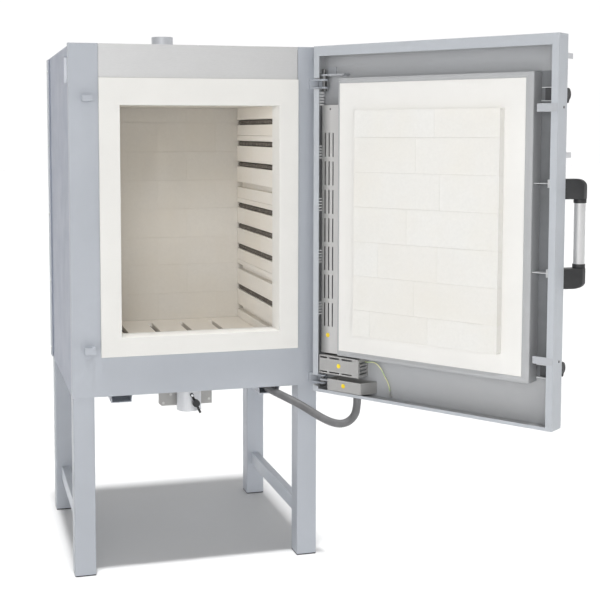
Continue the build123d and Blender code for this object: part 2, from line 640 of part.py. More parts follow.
with BuildPart(DOOR) as latch_knob_bottom:
    rod_y(LATCH_X, LATCH_ZB, -86, PY0 - 0.4, 12)
    with BuildSketch(door_side(LATCH_X - 5)):
        with BuildLine():
            Polyline((-86, LATCH_ZB - 12), (-96, LATCH_ZB - 23), (-108, LATCH_ZB - 20), (-120, LATCH_ZB - 2),
                     (-114, LATCH_ZB + 10), (-98, LATCH_ZB + 22), (-86, LATCH_ZB + 12), close=True)
        make_face()
    extrude(amount=10)
    rod_y(LATCH_X, LATCH_ZB, -80, PY0, 6.05, mode=Mode.SUBTRACT)
done(latch_knob_bottom, "latch_knob_bottom")

with BuildPart(DOOR) as latch_cam_top:
    rod_y(LATCH_X, LATCH_ZT, -79.8, -18, 6.0)
    block(LATCH_X - 8, LATCH_X + 8, -24, -18, LATCH_ZT - 45, LATCH_ZT + 8)
done(latch_cam_top, "latch_cam_top")

with BuildPart(DOOR) as latch_cam_bottom:
    rod_y(LATCH_X, LATCH_ZB, -79.8, -18, 6.0)
    block(LATCH_X - 8, LATCH_X + 8, -24, -18, LATCH_ZB - 45, LATCH_ZB + 8)
done(latch_cam_bottom, "latch_cam_bottom")

# ----- air inlet flap and its lever (lever hangs LEVER_TILT off plumb)
TILT = Plane(origin=(AX, AY, FLAP_Z), x_dir=(cos(radians(LEVER_TILT)), 0, sin(radians(LEVER_TILT))), z_dir=(0, -1, 0))
with BuildPart(TILT) as inlet_flap:
    with Locations((0, 0, 8.75)):
        Cylinder(4.0, 100.5)
    with Locations((0, 0, 0)):
        Cylinder(AIR_R - 3, 2.5, rotation=(0, 90, 0))
done(inlet_flap, "inlet_flap")

with BuildPart(TILT) as inlet_lever:
    with BuildSketch(TILT.offset(AIR_R + 5)):
        rect(-4, 4, -70, 6)
    extrude(amount=3)
    with Locations((0, -30, AIR_R + 8 + 8)):
        Cylinder(12.5, 16)
    with Locations((0, 0, AIR_R + 8 + 2.2)):
        Cylinder(6.5, 4.4)
    with Locations((0, 0, AIR_R + 8)):
        Cylinder(4.05, 30, mode=Mode.SUBTRACT)
done(inlet_lever, "inlet_lever")

# ================================================================= cords
def tube_path(points):
    radii, worst = [], 1e9
    v = [Vector(*p) for p in points]
    for a, b, c in zip(v, v[1:], v[2:]):
        turn = (b - a).get_angle(c - b)
        r = 0.45 * min((b - a).length, (c - b).length) / tan(radians(turn / 2))
        radii.append(r)
    return radii


con_end = opened(285, -38, 597)
# the last bend before the door entry is as tight as the real hose takes it, about two diameters
CONDUIT = [
    (268, 310, 587), (268, 248, 587), (262, 185, 589), (262, 124, 588), (258, 66, 586), (272, 8, 581), (303, -40, 569),
    (343, -85, 550), (386, -124, 522), (425, -151, 503), (462, -159.9, 498), (494, -159.9, 514),
    (con_end.X, con_end.Y, 545), (con_end.X, con_end.Y, 591.6),
]
EARTH = [opened(*p) for p in (
    (261.9, -50, 708), (247, -50, 708), (232, -52, 711.5), (215, -54, 704), (201, -57, 686), (189, -59, 664),
    (177, -62, 642), (172, -62, 620))]


def show(name, pts, radii, dia, vol):
    v = [Vector(*p) if not isinstance(p, Vector) else p for p in pts]
    runs = [(b - a).length for a, b in zip(v, v[1:])]
    turns = [(b - a).get_angle(c - b) for a, b, c in zip(v, v[1:], v[2:])]
    path_len = sum(runs) - sum(2 * r * tan(radians(t / 2)) - r * radians(t) for r, t in zip(radii, turns))
    print(name, "runs", [round(r) for r in runs], "turns", [round(t) for t in turns],
          "radii", [round(r) for r in radii], "min radius / dia", round(min(radii) / dia, 1),
          "length", round(path_len, 1), "volume ratio", round(vol / (pi * dia * dia / 4 * path_len), 4))


with BuildPart(DOOR) as earth_lug:
    block(168.5, 175.5, -65.4, -58.6, 609, 619.6)
    rod_y(172, 604, PY0 + SH + 0.1, -65.3, 7.5)
    rod_y(172, 604, -65.4, -61.5, 5)
done(earth_lug, "earth_lug")

con_radii = tube_path(CONDUIT)
with BuildPart() as conduit:
    with BuildLine() as con_line:
        FilletPolyline(*CONDUIT, radius=con_radii)
    with BuildSketch(Plane(origin=con_line.line @ 0, z_dir=con_line.line % 0)):
        Circle(CON_D / 2)
    sweep(path=con_line.line)
show("conduit", CONDUIT, con_radii, CON_D, conduit.part.volume)
done(conduit, "conduit")

ear_radii = tube_path([(p.X, p.Y, p.Z) for p in EARTH])
with BuildPart() as earth_wire:
    with BuildLine() as ear_line:
        FilletPolyline(*EARTH, radius=ear_radii)
    with BuildSketch(Plane(origin=ear_line.line @ 0, z_dir=ear_line.line % 0)):
        Circle(WIRE_D / 2)
    sweep(path=ear_line.line)
show("earth_wire", EARTH, ear_radii, WIRE_D, earth_wire.part.volume)
done(earth_wire, "earth_wire")

with BuildPart() as conduit_gland:
    with BuildSketch(front(310)):
        with Locations((268, 587)):
            RegularPolygon(16.5, 6)
            Circle(9, mode=Mode.SUBTRACT)
    extrude(amount=-14)
    with BuildSketch(front(324)):
        rect(237, 291, CHZ + 0.3, ZB + 20)
        with Locations((268, 587)):
            Circle(9, mode=Mode.SUBTRACT)
    extrude(amount=-3)
    block(237, 291, 324, 354.8, ZB + 17, ZB + 20)
done(conduit_gland, "conduit_gland")

print(len(NODES), "nodes")
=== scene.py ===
import bpy
import bmesh
import json
import math
import random
from math import sin, cos, tan, radians, pi, sqrt, hypot
from mathutils import Vector, Matrix

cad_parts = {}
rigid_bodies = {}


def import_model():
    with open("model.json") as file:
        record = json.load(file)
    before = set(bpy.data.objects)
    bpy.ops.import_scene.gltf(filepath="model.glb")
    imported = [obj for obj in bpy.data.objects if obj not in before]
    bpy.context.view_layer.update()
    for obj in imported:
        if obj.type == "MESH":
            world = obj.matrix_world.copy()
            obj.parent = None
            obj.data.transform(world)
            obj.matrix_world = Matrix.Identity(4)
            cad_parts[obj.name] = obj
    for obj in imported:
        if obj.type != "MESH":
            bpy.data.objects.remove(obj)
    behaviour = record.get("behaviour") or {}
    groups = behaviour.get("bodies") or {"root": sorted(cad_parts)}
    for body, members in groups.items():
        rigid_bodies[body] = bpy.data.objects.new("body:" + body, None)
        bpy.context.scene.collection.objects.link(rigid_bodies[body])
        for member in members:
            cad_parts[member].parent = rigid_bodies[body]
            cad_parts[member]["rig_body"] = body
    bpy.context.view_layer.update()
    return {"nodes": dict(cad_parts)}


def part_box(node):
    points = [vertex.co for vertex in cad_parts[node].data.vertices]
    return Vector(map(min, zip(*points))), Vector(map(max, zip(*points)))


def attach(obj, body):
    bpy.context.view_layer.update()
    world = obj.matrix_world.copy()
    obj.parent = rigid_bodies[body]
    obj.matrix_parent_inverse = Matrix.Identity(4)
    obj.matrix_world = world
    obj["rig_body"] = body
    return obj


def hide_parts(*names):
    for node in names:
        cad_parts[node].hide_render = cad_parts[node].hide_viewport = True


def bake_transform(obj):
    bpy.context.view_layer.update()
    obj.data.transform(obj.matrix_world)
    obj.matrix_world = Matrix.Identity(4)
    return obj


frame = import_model()
NODE = frame["nodes"]
SC = bpy.context.scene
COL = SC.collection
SC.view_settings.view_transform = "Standard"
SC.view_settings.look = "None"

# ------------------------------------------------------------------ camera
YAW, PITCH, ROLL = radians(14.959), radians(-4.428), radians(-0.035)
fwd = Vector((sin(YAW) * cos(PITCH), cos(YAW) * cos(PITCH), sin(PITCH)))
rgt = Vector((cos(YAW), -sin(YAW), 0))
upv = rgt.cross(fwd)
r2 = rgt * cos(ROLL) + upv * sin(ROLL)
u2 = upv * cos(ROLL) - rgt * sin(ROLL)
cam_data = bpy.data.cameras.new("camera")
cam = bpy.data.objects.new("camera", cam_data)
COL.objects.link(cam)
cam_data.sensor_width = 36.0
cam_data.lens = 67.127
cam_data.shift_x = 0.0693
cam_data.shift_y = -0.1414
cam_data.clip_end = 200.0
cam.matrix_world = Matrix((
    (r2.x, u2.x, -fwd.x, -0.7837), (r2.y, u2.y, -fwd.y, -3.7106), (r2.z, u2.z, -fwd.z, 1.4777), (0, 0, 0, 1)))
SC.camera = cam

# ------------------------------------------------------------------ door frame
HX, HY, OPEN = 428.5, -42.0, 126.4
CO, SI = cos(radians(OPEN)), sin(radians(OPEN))


def opened(x, y, z):
    """closed-door millimetres -> metres in the row frame, door open"""
    return Vector(((HX + CO * (x - HX) - SI * (y - HY)) / 1000, (HY + SI * (x - HX) + CO * (y - HY)) / 1000, z / 1000))


def straight(x, y, z):
    return Vector((x / 1000, y / 1000, z / 1000))


# ------------------------------------------------------------------ mesh helpers
def new_obj(name, mesh, body, mats=(), replaces=()):
    ob = bpy.data.objects.new(name, mesh)
    COL.objects.link(ob)
    for m in mats:
        mesh.materials.append(m)
    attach(ob, body)
    if replaces:
        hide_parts(*replaces)
    return ob


def curve_points(pts):
    """the smooth line of the route: points of an order-3 NURBS through the route's control points"""
    cu = bpy.data.curves.new("route", "CURVE")
    cu.dimensions = "3D"
    sp = cu.splines.new("NURBS")
    sp.points.add(len(pts) - 1)
    for p, co in zip(sp.points, pts):
        p.co = (co[0], co[1], co[2], 1)
    sp.order_u = 3
    sp.use_endpoint_u = True
    cu.resolution_u = 24
    ob = bpy.data.objects.new("route", cu)
    COL.objects.link(ob)
    bpy.context.view_layer.update()
    me = bpy.data.meshes.new_from_object(ob.evaluated_get(bpy.context.evaluated_depsgraph_get()))
    out = [v.co.copy() for v in me.vertices]
    bpy.data.objects.remove(ob)
    bpy.data.meshes.remove(me)
    return out


def resample(path, step):
    """points evenly spaced along a polyline"""
    out, left = [path[0].copy()], step
    for a, b in zip(path, path[1:]):
        d = (b - a).length
        while d >= left:
            t = left / d
            a = a.lerp(b, t)
            out.append(a.copy())
            d = (b - a).length
            left = step
        left -= d
    if (out[-1] - path[-1]).length < step * 0.4:
        out[-1] = path[-1].copy()
    else:
        out.append(path[-1].copy())
    return out


def tube(path, radius, sides=16, profile=None, mat_of=None, cap=True):
    """mesh tube along points; profile(i, s) gives the radius at a ring"""
    bm = bmesh.new()
    n = len(path)
    tang = []
    for i in range(n):
        a, b = path[max(i - 1, 0)], path[min(i + 1, n - 1)]
        tang.append((b - a).normalized())
    ref = Vector((0, 0, 1)) if abs(tang[0].z) < 0.9 else Vector((1, 0, 0))
    nrm = tang[0].cross(ref).normalized()
    rings, s = [], 0.0
    for i in range(n):
        if i:
            ax = tang[i - 1].cross(tang[i])
            if ax.length > 1e-9:
                nrm = Matrix.Rotation(tang[i - 1].angle(tang[i]), 3, ax.normalized()) @ nrm
            s += (path[i] - path[i - 1]).length
        nrm = (nrm - tang[i] * nrm.dot(tang[i])).normalized()
        bi = tang[i].cross(nrm)
        r = profile(i, s) if profile else radius
        rings.append([bm.verts.new(path[i] + (nrm * cos(2 * pi * k / sides) + bi * sin(2 * pi * k / sides)) * r) for k in range(sides)])
    for i in range(n - 1):
        for k in range(sides):
            f = bm.faces.new((rings[i][k], rings[i][(k + 1) % sides], rings[i + 1][(k + 1) % sides], rings[i + 1][k]))
            f.smooth = True
            if mat_of:
                f.material_index = mat_of(i, k)
    if cap:
        bm.faces.new(list(reversed(rings[0])))
        bm.faces.new(rings[-1])
    bmesh.ops.recalc_face_normals(bm, faces=bm.faces)
    me = bpy.data.meshes.new("tube")
    bm.to_mesh(me)
    bm.free()
    return me


# ------------------------------------------------------------------ node helpers
class Mat:
    def __init__(self, name, **kw):
        self.m = bpy.data.materials.new(name)
        self.m.use_nodes = True
        self.nt = self.m.node_tree
        self.b = self.nt.nodes["Principled BSDF"]
        for k, v in kw.items():
            self.b.inputs[k].default_value = v
        self.co = self.nt.nodes.new("ShaderNodeTexCoord")

    def node(self, kind, **kw):
        n = self.nt.nodes.new(kind)
        for k, v in kw.items():
            if hasattr(n, k) and k not in [i.name for i in n.inputs]:
                setattr(n, k, v)
            else:
                n.inputs[k].default_value = v
        return n

    def link(self, a, b):
        self.nt.links.new(a, b)

    def coords(self, scale=(1, 1, 1), rot=(0, 0, 0)):
        mp = self.node("ShaderNodeMapping")
        mp.inputs["Scale"].default_value = scale
        mp.inputs["Rotation"].default_value = rot
        self.link(self.co.outputs["Object"], mp.inputs["Vector"])
        return mp.outputs["Vector"]

    def noise(self, scale, detail=3.0, rough=0.55, vec=None, dist=0.0):
        n = self.node("ShaderNodeTexNoise")
        n.inputs["Scale"].default_value = scale
        n.inputs["Detail"].default_value = detail
        n.inputs["Roughness"].default_value = rough
        n.inputs["Distortion"].default_value = dist
        self.link(vec if vec is not None else self.co.outputs["Object"], n.inputs["Vector"])
        return n.outputs["Fac"]

    def ramp(self, fac, stops):
        r = self.node("ShaderNodeValToRGB")
        el = r.color_ramp.elements
        while len(el) < len(stops):
            el.new(0.5)
        for e, (p, c) in zip(el, stops):
            e.position = p
            e.color = c if len(c) == 4 else (*c, 1)
        self.link(fac, r.inputs["Fac"])
        return r.outputs["Color"]

    def maprange(self, fac, a, b, c, d):
        r = self.node("ShaderNodeMapRange")
        for k, v in (("From Min", a), ("From Max", b), ("To Min", c), ("To Max", d)):
            r.inputs[k].default_value = v
        self.link(fac, r.inputs["Value"])
        return r.outputs["Result"]

    def mix(self, fac, a, b, mode="MIX"):
        n = self.node("ShaderNodeMix", data_type="RGBA", blend_type=mode)
        n.clamp_factor = True
        for sock, val in ((n.inputs[0], fac), (n.inputs[6], a), (n.inputs[7], b)):
            if isinstance(val, (int, float)):
                sock.default_value = val
            elif isinstance(val, tuple):
                sock.default_value = val if len(val) == 4 else (*val, 1)
            else:
                self.link(val, sock)
        return n.outputs[2]

    def math(self, op, a, b=0.0):
        n = self.node("ShaderNodeMath", operation=op)
        for sock, val in ((n.inputs[0], a), (n.inputs[1], b)):
            if isinstance(val, (int, float)):
                sock.default_value = val
            else:
                self.link(val, sock)
        return n.outputs[0]

    def color(self, out):
        self.link(out, self.b.inputs["Base Color"])

    def rough(self, out):
        self.link(out, self.b.inputs["Roughness"])

    def bump(self, *layers):
        """layers of (height output, strength, distance in metres)"""
        last = None
        for h, st, dist in layers:
            n = self.node("ShaderNodeBump")
            n.inputs["Strength"].default_value = st
            n.inputs["Distance"].default_value = dist
            self.link(h, n.inputs["Height"])
            if last is not None:
                self.link(last, n.inputs["Normal"])
            last = n.outputs["Normal"]
        self.link(last, self.b.inputs["Normal"])


def paint(name, col, rough=0.42, dirt=0.06):
    m = Mat(name, **{"Specular IOR Level": 0.45})
    big = m.noise(2.2, 4)
    fine = m.noise(38, 3)
    c1 = m.mix(m.maprange(big, 0.35, 0.7, 0, 1), tuple(v * (1 - dirt) for v in col), tuple(min(1, v * (1 + dirt * 0.6)) for v in col))
    c2 = m.mix(m.maprange(fine, 0.3, 0.75, 0, 0.35), c1, tuple(v * 0.95 for v in col))
    m.color(c2)
    m.rough(m.maprange(m.noise(9, 4), 0.3, 0.7, rough - 0.05, rough + 0.07))
    m.bump((m.noise(520, 2, 0.5), 0.10, 0.0004), (m.noise(5.5, 2), 0.05, 0.004))
    return m.m


def pan_paint(name, col, inner, rough=0.42):
    """paint of the door pan: the recess behind the rim is painted a darker, more neutral grey than the outside, as
    painted shade
    """
    m = Mat(name, **{"Specular IOR Level": 0.45})
    mp = m.node("ShaderNodeMapping")
    mp.vector_type = "TEXTURE"
    mp.inputs["Location"].default_value = (HX / 1000, HY / 1000, 0)
    mp.inputs["Rotation"].default_value = (0, 0, radians(OPEN))
    m.link(m.co.outputs["Object"], mp.inputs["Vector"])
    sp = m.node("ShaderNodeSeparateXYZ")
    m.link(mp.outputs["Vector"], sp.inputs[0])
    # closed-door coordinates measured from the hinge axis
    x0, x1, y0, y1, z0, z1 = -0.8482, 0.0138, -0.0262, 0.0342, 0.5938, 1.7572
    fx = m.math("MULTIPLY", m.math("GREATER_THAN", sp.outputs[0], x0), m.math("LESS_THAN", sp.outputs[0], x1))
    fy = m.math("MULTIPLY", m.math("GREATER_THAN", sp.outputs[1], y0), m.math("LESS_THAN", sp.outputs[1], y1))
    fz = m.math("MULTIPLY", m.math("GREATER_THAN", sp.outputs[2], z0), m.math("LESS_THAN", sp.outputs[2], z1))
    inside = m.math("MULTIPLY", m.math("MULTIPLY", fx, fy), fz)
    big = m.noise(2.2, 4)
    c = m.mix(inside, col, inner)

    def zone(a0, a1, h0, h1):
        q = m.math("MULTIPLY", m.math("GREATER_THAN", sp.outputs[0], a0), m.math("LESS_THAN", sp.outputs[0], a1))
        w = m.math("MULTIPLY", m.math("GREATER_THAN", sp.outputs[2], h0), m.math("LESS_THAN", sp.outputs[2], h1))
        return m.math("MULTIPLY", m.math("MULTIPLY", q, w), inside)

    # painted shade: near-black behind the duct cover and in the latch pockets at the free edge
    for z_ in (zone(-0.0745, -0.0075, 0.727, 1.564), zone(-0.8482, -0.795, 1.566, 1.600), zone(-0.8482, -0.795, 0.747, 0.781)):
        c = m.mix(z_, c, (0.07, 0.07, 0.075))
    # painted shade: a dark band down the free side, where the panel frame shades the pan
    c = m.mix(m.math("MULTIPLY", zone(-0.8482, -0.735, 0.737, 1.655), 0.9), c, (0.14, 0.145, 0.15))
    c = m.mix(m.maprange(big, 0.35, 0.7, 0.35, 0), c, (0.40, 0.42, 0.45))
    c = m.mix(m.maprange(m.noise(38, 3), 0.3, 0.75, 0, 0.12), c, (0.36, 0.37, 0.39))
    m.color(c)
    m.rough(m.maprange(m.noise(9, 4), 0.3, 0.7, rough - 0.05, rough + 0.07))
    m.bump((m.noise(520, 2, 0.5), 0.10, 0.0004), (m.noise(5.5, 2), 0.05, 0.004))
    return m.m


def closed_split(m):
    """x, y, z of the closed door, from the hinge axis"""
    mp = m.node("ShaderNodeMapping")
    mp.vector_type = "TEXTURE"
    mp.inputs["Location"].default_value = (HX / 1000, HY / 1000, 0)
    mp.inputs["Rotation"].default_value = (0, 0, radians(OPEN))
    m.link(m.co.outputs["Object"], mp.inputs["Vector"])
    sp = m.node("ShaderNodeSeparateXYZ")
    m.link(mp.outputs["Vector"], sp.inputs[0])
    return sp


def stiff_paint(name, col):
    """pressed brackets: pale plates, with near-black painted shade in the pocket between them"""
    m = Mat(name, **{"Specular IOR Level": 0.45})
    sp = closed_split(m)
    c = m.mix(m.maprange(m.noise(20, 3), 0.3, 0.7, 0, 1), col, tuple(v * 0.94 for v in col))
    # painted shade: a near-black band at each latch height
    for zc in (1.5845, 0.764):
        d = m.math("ABSOLUTE", m.math("SUBTRACT", sp.outputs[2], zc))
        c = m.mix(m.math("LESS_THAN", d, 0.01845), c, (0.055, 0.056, 0.06))
    m.color(c)
    m.rough(m.maprange(m.noise(9, 4), 0.3, 0.7, 0.38, 0.5))
    m.bump((m.noise(520, 2, 0.5), 0.10, 0.0004))
    return m.m


def duct_steel(name, col, fold_shade):
    """sheet whose hinge side is rolled, and painted darker there as painted shade of the fold; the rest clean"""
    m = Mat(name, Metallic=0.5)
    sp = closed_split(m)
    g = m.noise(30, 4, 0.6, m.coords((60, 60, 2)))
    c = m.mix(m.maprange(g, 0.3, 0.7, 0, 1), tuple(x * 0.94 for x in col), col)
    # painted shade: darker towards the hinge side
    c = m.mix(m.maprange(sp.outputs[0], -0.043, -0.016, 0, 1), c, fold_shade)
    m.color(c)
    m.rough(m.maprange(g, 0.3, 0.7, 0.42, 0.54))
    m.bump((g, 0.12, 0.0003))
    return m.m


def brushed(name, col, rough=0.34, along=(1, 60, 60), metallic=1.0, strength=0.2):
    m = Mat(name, Metallic=metallic)
    v = m.coords(along)
    g = m.noise(30, 4, 0.6, v)
    g2 = m.noise(7, 3, 0.5, v)
    c = m.mix(m.maprange(g, 0.3, 0.7, 0, 1), tuple(x * 0.93 for x in col), tuple(min(1, x * 1.04) for x in col))
    c = m.mix(m.maprange(m.noise(3, 3), 0.35, 0.75, 0, 0.35), c, tuple(x * 0.9 for x in col))
    m.color(c)
    m.rough(m.maprange(g2, 0.3, 0.7, rough - 0.06, rough + 0.08))
    m.bump((g, strength, 0.0003))
    return m.m


M = {}
M["paint"] = paint("blue_grey_paint", (0.455, 0.480, 0.522))
# painted shade: the left casing is the blue-grey paint made darker, as it faces away from the light
M["paint_side_shaded"] = paint("side_sheet_paint", (0.305, 0.332, 0.405))
# painted light: the recess back plates are the casing paint made pale, so the shaded recess reads lit
M["paint_pale"] = paint("recess_paint", (0.74, 0.76, 0.80))
M["paint_frame"] = paint("frame_paint", (0.458, 0.483, 0.525), 0.40)
M["paint_in"] = paint("door_inner_paint", (0.44, 0.455, 0.48), 0.45)
M["pan"] = pan_paint("door_pan_paint", (0.488, 0.513, 0.546), (0.44, 0.445, 0.452))
M["panel_grey"] = paint("panel_frame_grey", (0.435, 0.442, 0.452), 0.40)
M["stiff"] = stiff_paint("bracket_paint", (0.60, 0.61, 0.62))
M["header"] = brushed("header_stainless", (0.61, 0.61, 0.61), 0.46, (2, 60, 60), 0.55, 0.12)
M["steel"] = brushed("stainless_sheet", (0.455, 0.45, 0.442), 0.46, (60, 60, 2), 0.6, 0.15)
M["duct"] = duct_steel("duct_sheet", (0.60, 0.595, 0.59), (0.30, 0.30, 0.295))
M["steel_pipe"] = brushed("stainless_pipe", (0.68, 0.69, 0.71), 0.46, (60, 60, 2), 0.45, 0.10)
M["plate"] = brushed("inlet_plate_steel", (0.40, 0.395, 0.385), 0.46, (60, 2, 60), 0.5, 0.15)
M["zinc"] = brushed("zinc_plated", (0.56, 0.56, 0.55), 0.36, (40, 40, 40), 0.85, 0.15)
M["bolt"] = brushed("dark_hinge_steel", (0.20, 0.20, 0.20), 0.40, (40, 40, 40), 0.8, 0.15)


def fibre(name, col):
    m = Mat(name, **{"Roughness": 0.92, "Specular IOR Level": 0.2})
    v = m.coords((1, 1, 1))
    a = m.noise(160, 5, 0.7, v, 0.6)
    b = m.noise(4.0, 4, 0.6)
    c = m.mix(m.maprange(b, 0.35, 0.7, 0, 1), tuple(x * 0.965 for x in col), col)
    c = m.mix(m.maprange(a, 0.55, 0.85, 0, 0.35), c, tuple(x * 0.93 for x in col))
    m.color(c)
    m.rough(m.maprange(a, 0.3, 0.7, 0.86, 0.97))
    m.bump((a, 0.22, 0.0008), (m.noise(900, 2), 0.18, 0.0002))
    return m.m


def brick(name, col):
    m = Mat(name, **{"Roughness": 0.95, "Specular IOR Level": 0.15})
    at = m.node("ShaderNodeAttribute")
    at.attribute_name = "tone"
    a = m.noise(95, 6, 0.65)
    pits = m.node("ShaderNodeTexVoronoi")
    pits.inputs["Scale"].default_value = 260
    m.link(m.co.outputs["Object"], pits.inputs["Vector"])
    pit = m.maprange(pits.outputs["Distance"], 0.05, 0.28, 0, 1)
    c = m.mix(m.maprange(a, 0.3, 0.72, 0, 1), tuple(x * 0.95 for x in col), col)
    c = m.mix(m.maprange(m.noise(6, 4), 0.4, 0.8, 0, 0.5), c, (col[0] * 0.97, col[1] * 0.94, col[2] * 0.88))
    c = m.mix(at.outputs["Fac"], c, (col[0] * 0.93, col[1] * 0.90, col[2] * 0.85))
    m.color(c)
    m.rough(m.maprange(a, 0.3, 0.7, 0.9, 1.0))
    m.bump((pit, 0.25, 0.0006), (a, 0.3, 0.0008))
    return m.m


M["board"] = fibre("fibre_board", (0.81, 0.80, 0.77))
M["door_board"] = fibre("door_fibre_board", (0.82, 0.81, 0.785))
M["brick"] = brick("light_brick", (0.86, 0.83, 0.78))
# painted shade: the back wall is the light brick made darker, for the shade deep in the chamber
M["brick_back"] = brick("back_brick", (0.70, 0.672, 0.625))
M["plug"] = brick("plug_brick", (0.80, 0.793, 0.767))


def plastic(name, col, rough, bumpy=0.12):
    m = Mat(name, **{"Specular IOR Level": 0.4})
    a = m.noise(700, 2)
    c = m.mix(m.maprange(m.noise(25, 4), 0.35, 0.75, 0, 1), col, tuple(min(1, x * 1.35 + 0.004) for x in col))
    m.color(c)
    m.rough(m.maprange(m.noise(40, 3), 0.3, 0.7, rough - 0.06, rough + 0.08))
    m.bump((a, bumpy, 0.0003))
    return m.m


M["black"] = plastic("black_plastic", (0.022, 0.0225, 0.0235), 0.46)
M["hose"] = plastic("hose_sheath", (0.142, 0.142, 0.145), 0.38, 0.06)
M["yellow"] = plastic("wire_yellow", (0.68, 0.68, 0.40), 0.4, 0.03)
M["green"] = plastic("wire_green", (0.42, 0.53, 0.29), 0.4, 0.03)
M["dot"] = plastic("yellow_dot", (0.80, 0.58, 0.02), 0.5, 0.03)


def wire(name):
    m = Mat(name, Metallic=0.25, Roughness=0.62)
    a = m.noise(60, 4)
    m.color(m.ramp(a, [(0.3, (0.075, 0.065, 0.055)), (0.55, (0.145, 0.128, 0.11)), (0.8, (0.25, 0.225, 0.195))]))
    m.rough(m.maprange(m.noise(150, 3), 0.3, 0.7, 0.5, 0.75))
    m.bump((m.noise(600, 3), 0.3, 0.0003))
    return m.m


M["wire"] = wire("oxidised_heating_wire")
M["ceramic"] = brick("ceramic_tube", (0.42, 0.39, 0.35))
M["grip"] = brushed("grip_aluminium", (0.60, 0.60, 0.60), 0.44, (50, 50, 2), 0.4, 0.10)
M["tab"] = brushed("hook_tab_steel", (0.60, 0.61, 0.63), 0.40, (40, 40, 40), 0.5, 0.12)
# painted shade: the back of the hinge bracket is its paint made near-black, for the shade under the upper flange
M["bracket_dark"] = paint("bracket_inside_paint", (0.20, 0.205, 0.21), 0.45)
# painted shadow: near-black foot plates stand in for the shadow line under the feet
M["dark"] = plastic("dark_inside", (0.05, 0.05, 0.052), 0.7)

ASSIGN = {
    "paint_frame": ["leg_front_left", "leg_front_right", "leg_rear_left", "leg_rear_right", "side_stretchers", "base_rails", "floor_sheet"],
    "paint_side_shaded": ["left_casing"],
    "paint": ["front_plate", "right_casing", "top_cover", "rear_cover", "rear_housing", "latch_catches", "hinge_brackets", "underside_channels"],
    "pan": ["door_pan"],
    "paint_in": ["hinge_straps", "latch_guides"],
    "stiff": ["latch_stiffeners"],
    "duct": ["duct_cover"],
    "panel_grey": ["door_panel_frame"],
    "header": ["header_panel"],
    "steel": ["terminal_box", "terminal_tray"],
    "plate": ["air_inlet_plate"],
    "steel_pipe": ["exhaust_stub", "air_inlet_tube", "inlet_flap"],
    "bolt": ["hinge_bolts"],
    "tab": ["hook_tabs"],
    "zinc": ["conduit_gland", "conduit_nut", "casing_screws", "supply_gland", "latch_cam_top", "latch_cam_bottom", "earth_lug"],
    "board": ["collar", "backup_insulation"],
    "door_board": ["door_insulation"],
    "brick": ["chamber_left_wall", "chamber_right_wall", "chamber_back_wall", "chamber_roof", "chamber_floor"],
    "plug": ["door_plug"],
    "dark": ["foot_plates"],
    "wire": ["element_coils", "floor_elements", "element_leads"],
    "ceramic": ["element_support_tubes", "thermocouple"],
    "black": ["handle_brackets", "latch_knob_top", "latch_knob_bottom", "inlet_lever"],
    "grip": ["handle_tube"],
}
for key, names in ASSIGN.items():
    for n in names:
        ob = NODE[n]
        ob.data.materials.clear()
        ob.data.materials.append(M[key])


def soften(name, width, segs=2, angle=35):
    """round the edges of a carried-over piece with modifiers only"""
    ob = NODE[name]
    w = ob.modifiers.new("weld", "WELD")
    w.merge_threshold = 0.00002
    d = ob.modifiers.new("planar", "DECIMATE")
    d.decimate_type = "DISSOLVE"
    d.angle_limit = radians(0.6)
    b = ob.modifiers.new("bevel", "BEVEL")
    b.width = width
    b.segments = segs
    b.limit_method = "ANGLE"
    b.angle_limit = radians(angle)
    b.harden_normals = False
    b.use_clamp_overlap = True


for n, w in (("leg_front_left", 0), ):
    pass
for n in ("front_plate", "header_panel", "left_casing", "right_casing", "top_cover", "rear_cover", "rear_housing", "door_panel_frame", "door_pan",
          "duct_cover", "terminal_box"):
    soften(n, 0.0009, 2)

# ------------------------------------------------------------------ cords
CON_END = opened(285, -38, 597)
CONDUIT = [straight(*p) for p in (
    (268, 310, 587), (268, 248, 587), (262, 185, 589), (262, 124, 588), (258, 66, 586), (272, 8, 581), (303, -40, 569),
    (343, -85, 550), (386, -124, 522), (425, -151, 503), (462, -159.9, 498), (494, -159.9, 514))]
CONDUIT += [Vector((CON_END.x, CON_END.y, 0.545)), Vector((CON_END.x, CON_END.y, 0.5916))]
con_path = resample(curve_points(CONDUIT), 0.00125)
me = tube(con_path, 0.0135, 28, profile=lambda i, s: 0.01322 + 0.00026 * cos(2 * pi * s / 0.005))
con = bpy.data.objects.new("flexible_conduit", me)
COL.objects.link(con)
me.materials.append(M["hose"])
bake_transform(con)
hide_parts("conduit")

EARTH = [opened(*p) for p in (
    (261.9, -50, 708), (247, -50, 708), (232, -52, 711.5), (215, -54, 704), (201, -57, 686), (189, -59, 664),
    (177, -62, 642), (172, -62, 620))]
ear_path = resample(curve_points(EARTH), 0.0015)
me = tube(ear_path, 0.002, 14, mat_of=lambda i, k: 1 if (k + i // 3) % 14 < 5 else 0)
new_obj("earth_lead", me, "door", (M["yellow"], M["green"]), ("earth_wire",))

# ------------------------------------------------------------------ bricks
def ccw(poly):
    a = sum(p[0] * q[1] - q[0] * p[1] for p, q in zip(poly, poly[1:] + poly[:1]))
    return poly if a > 0 else poly[::-1]


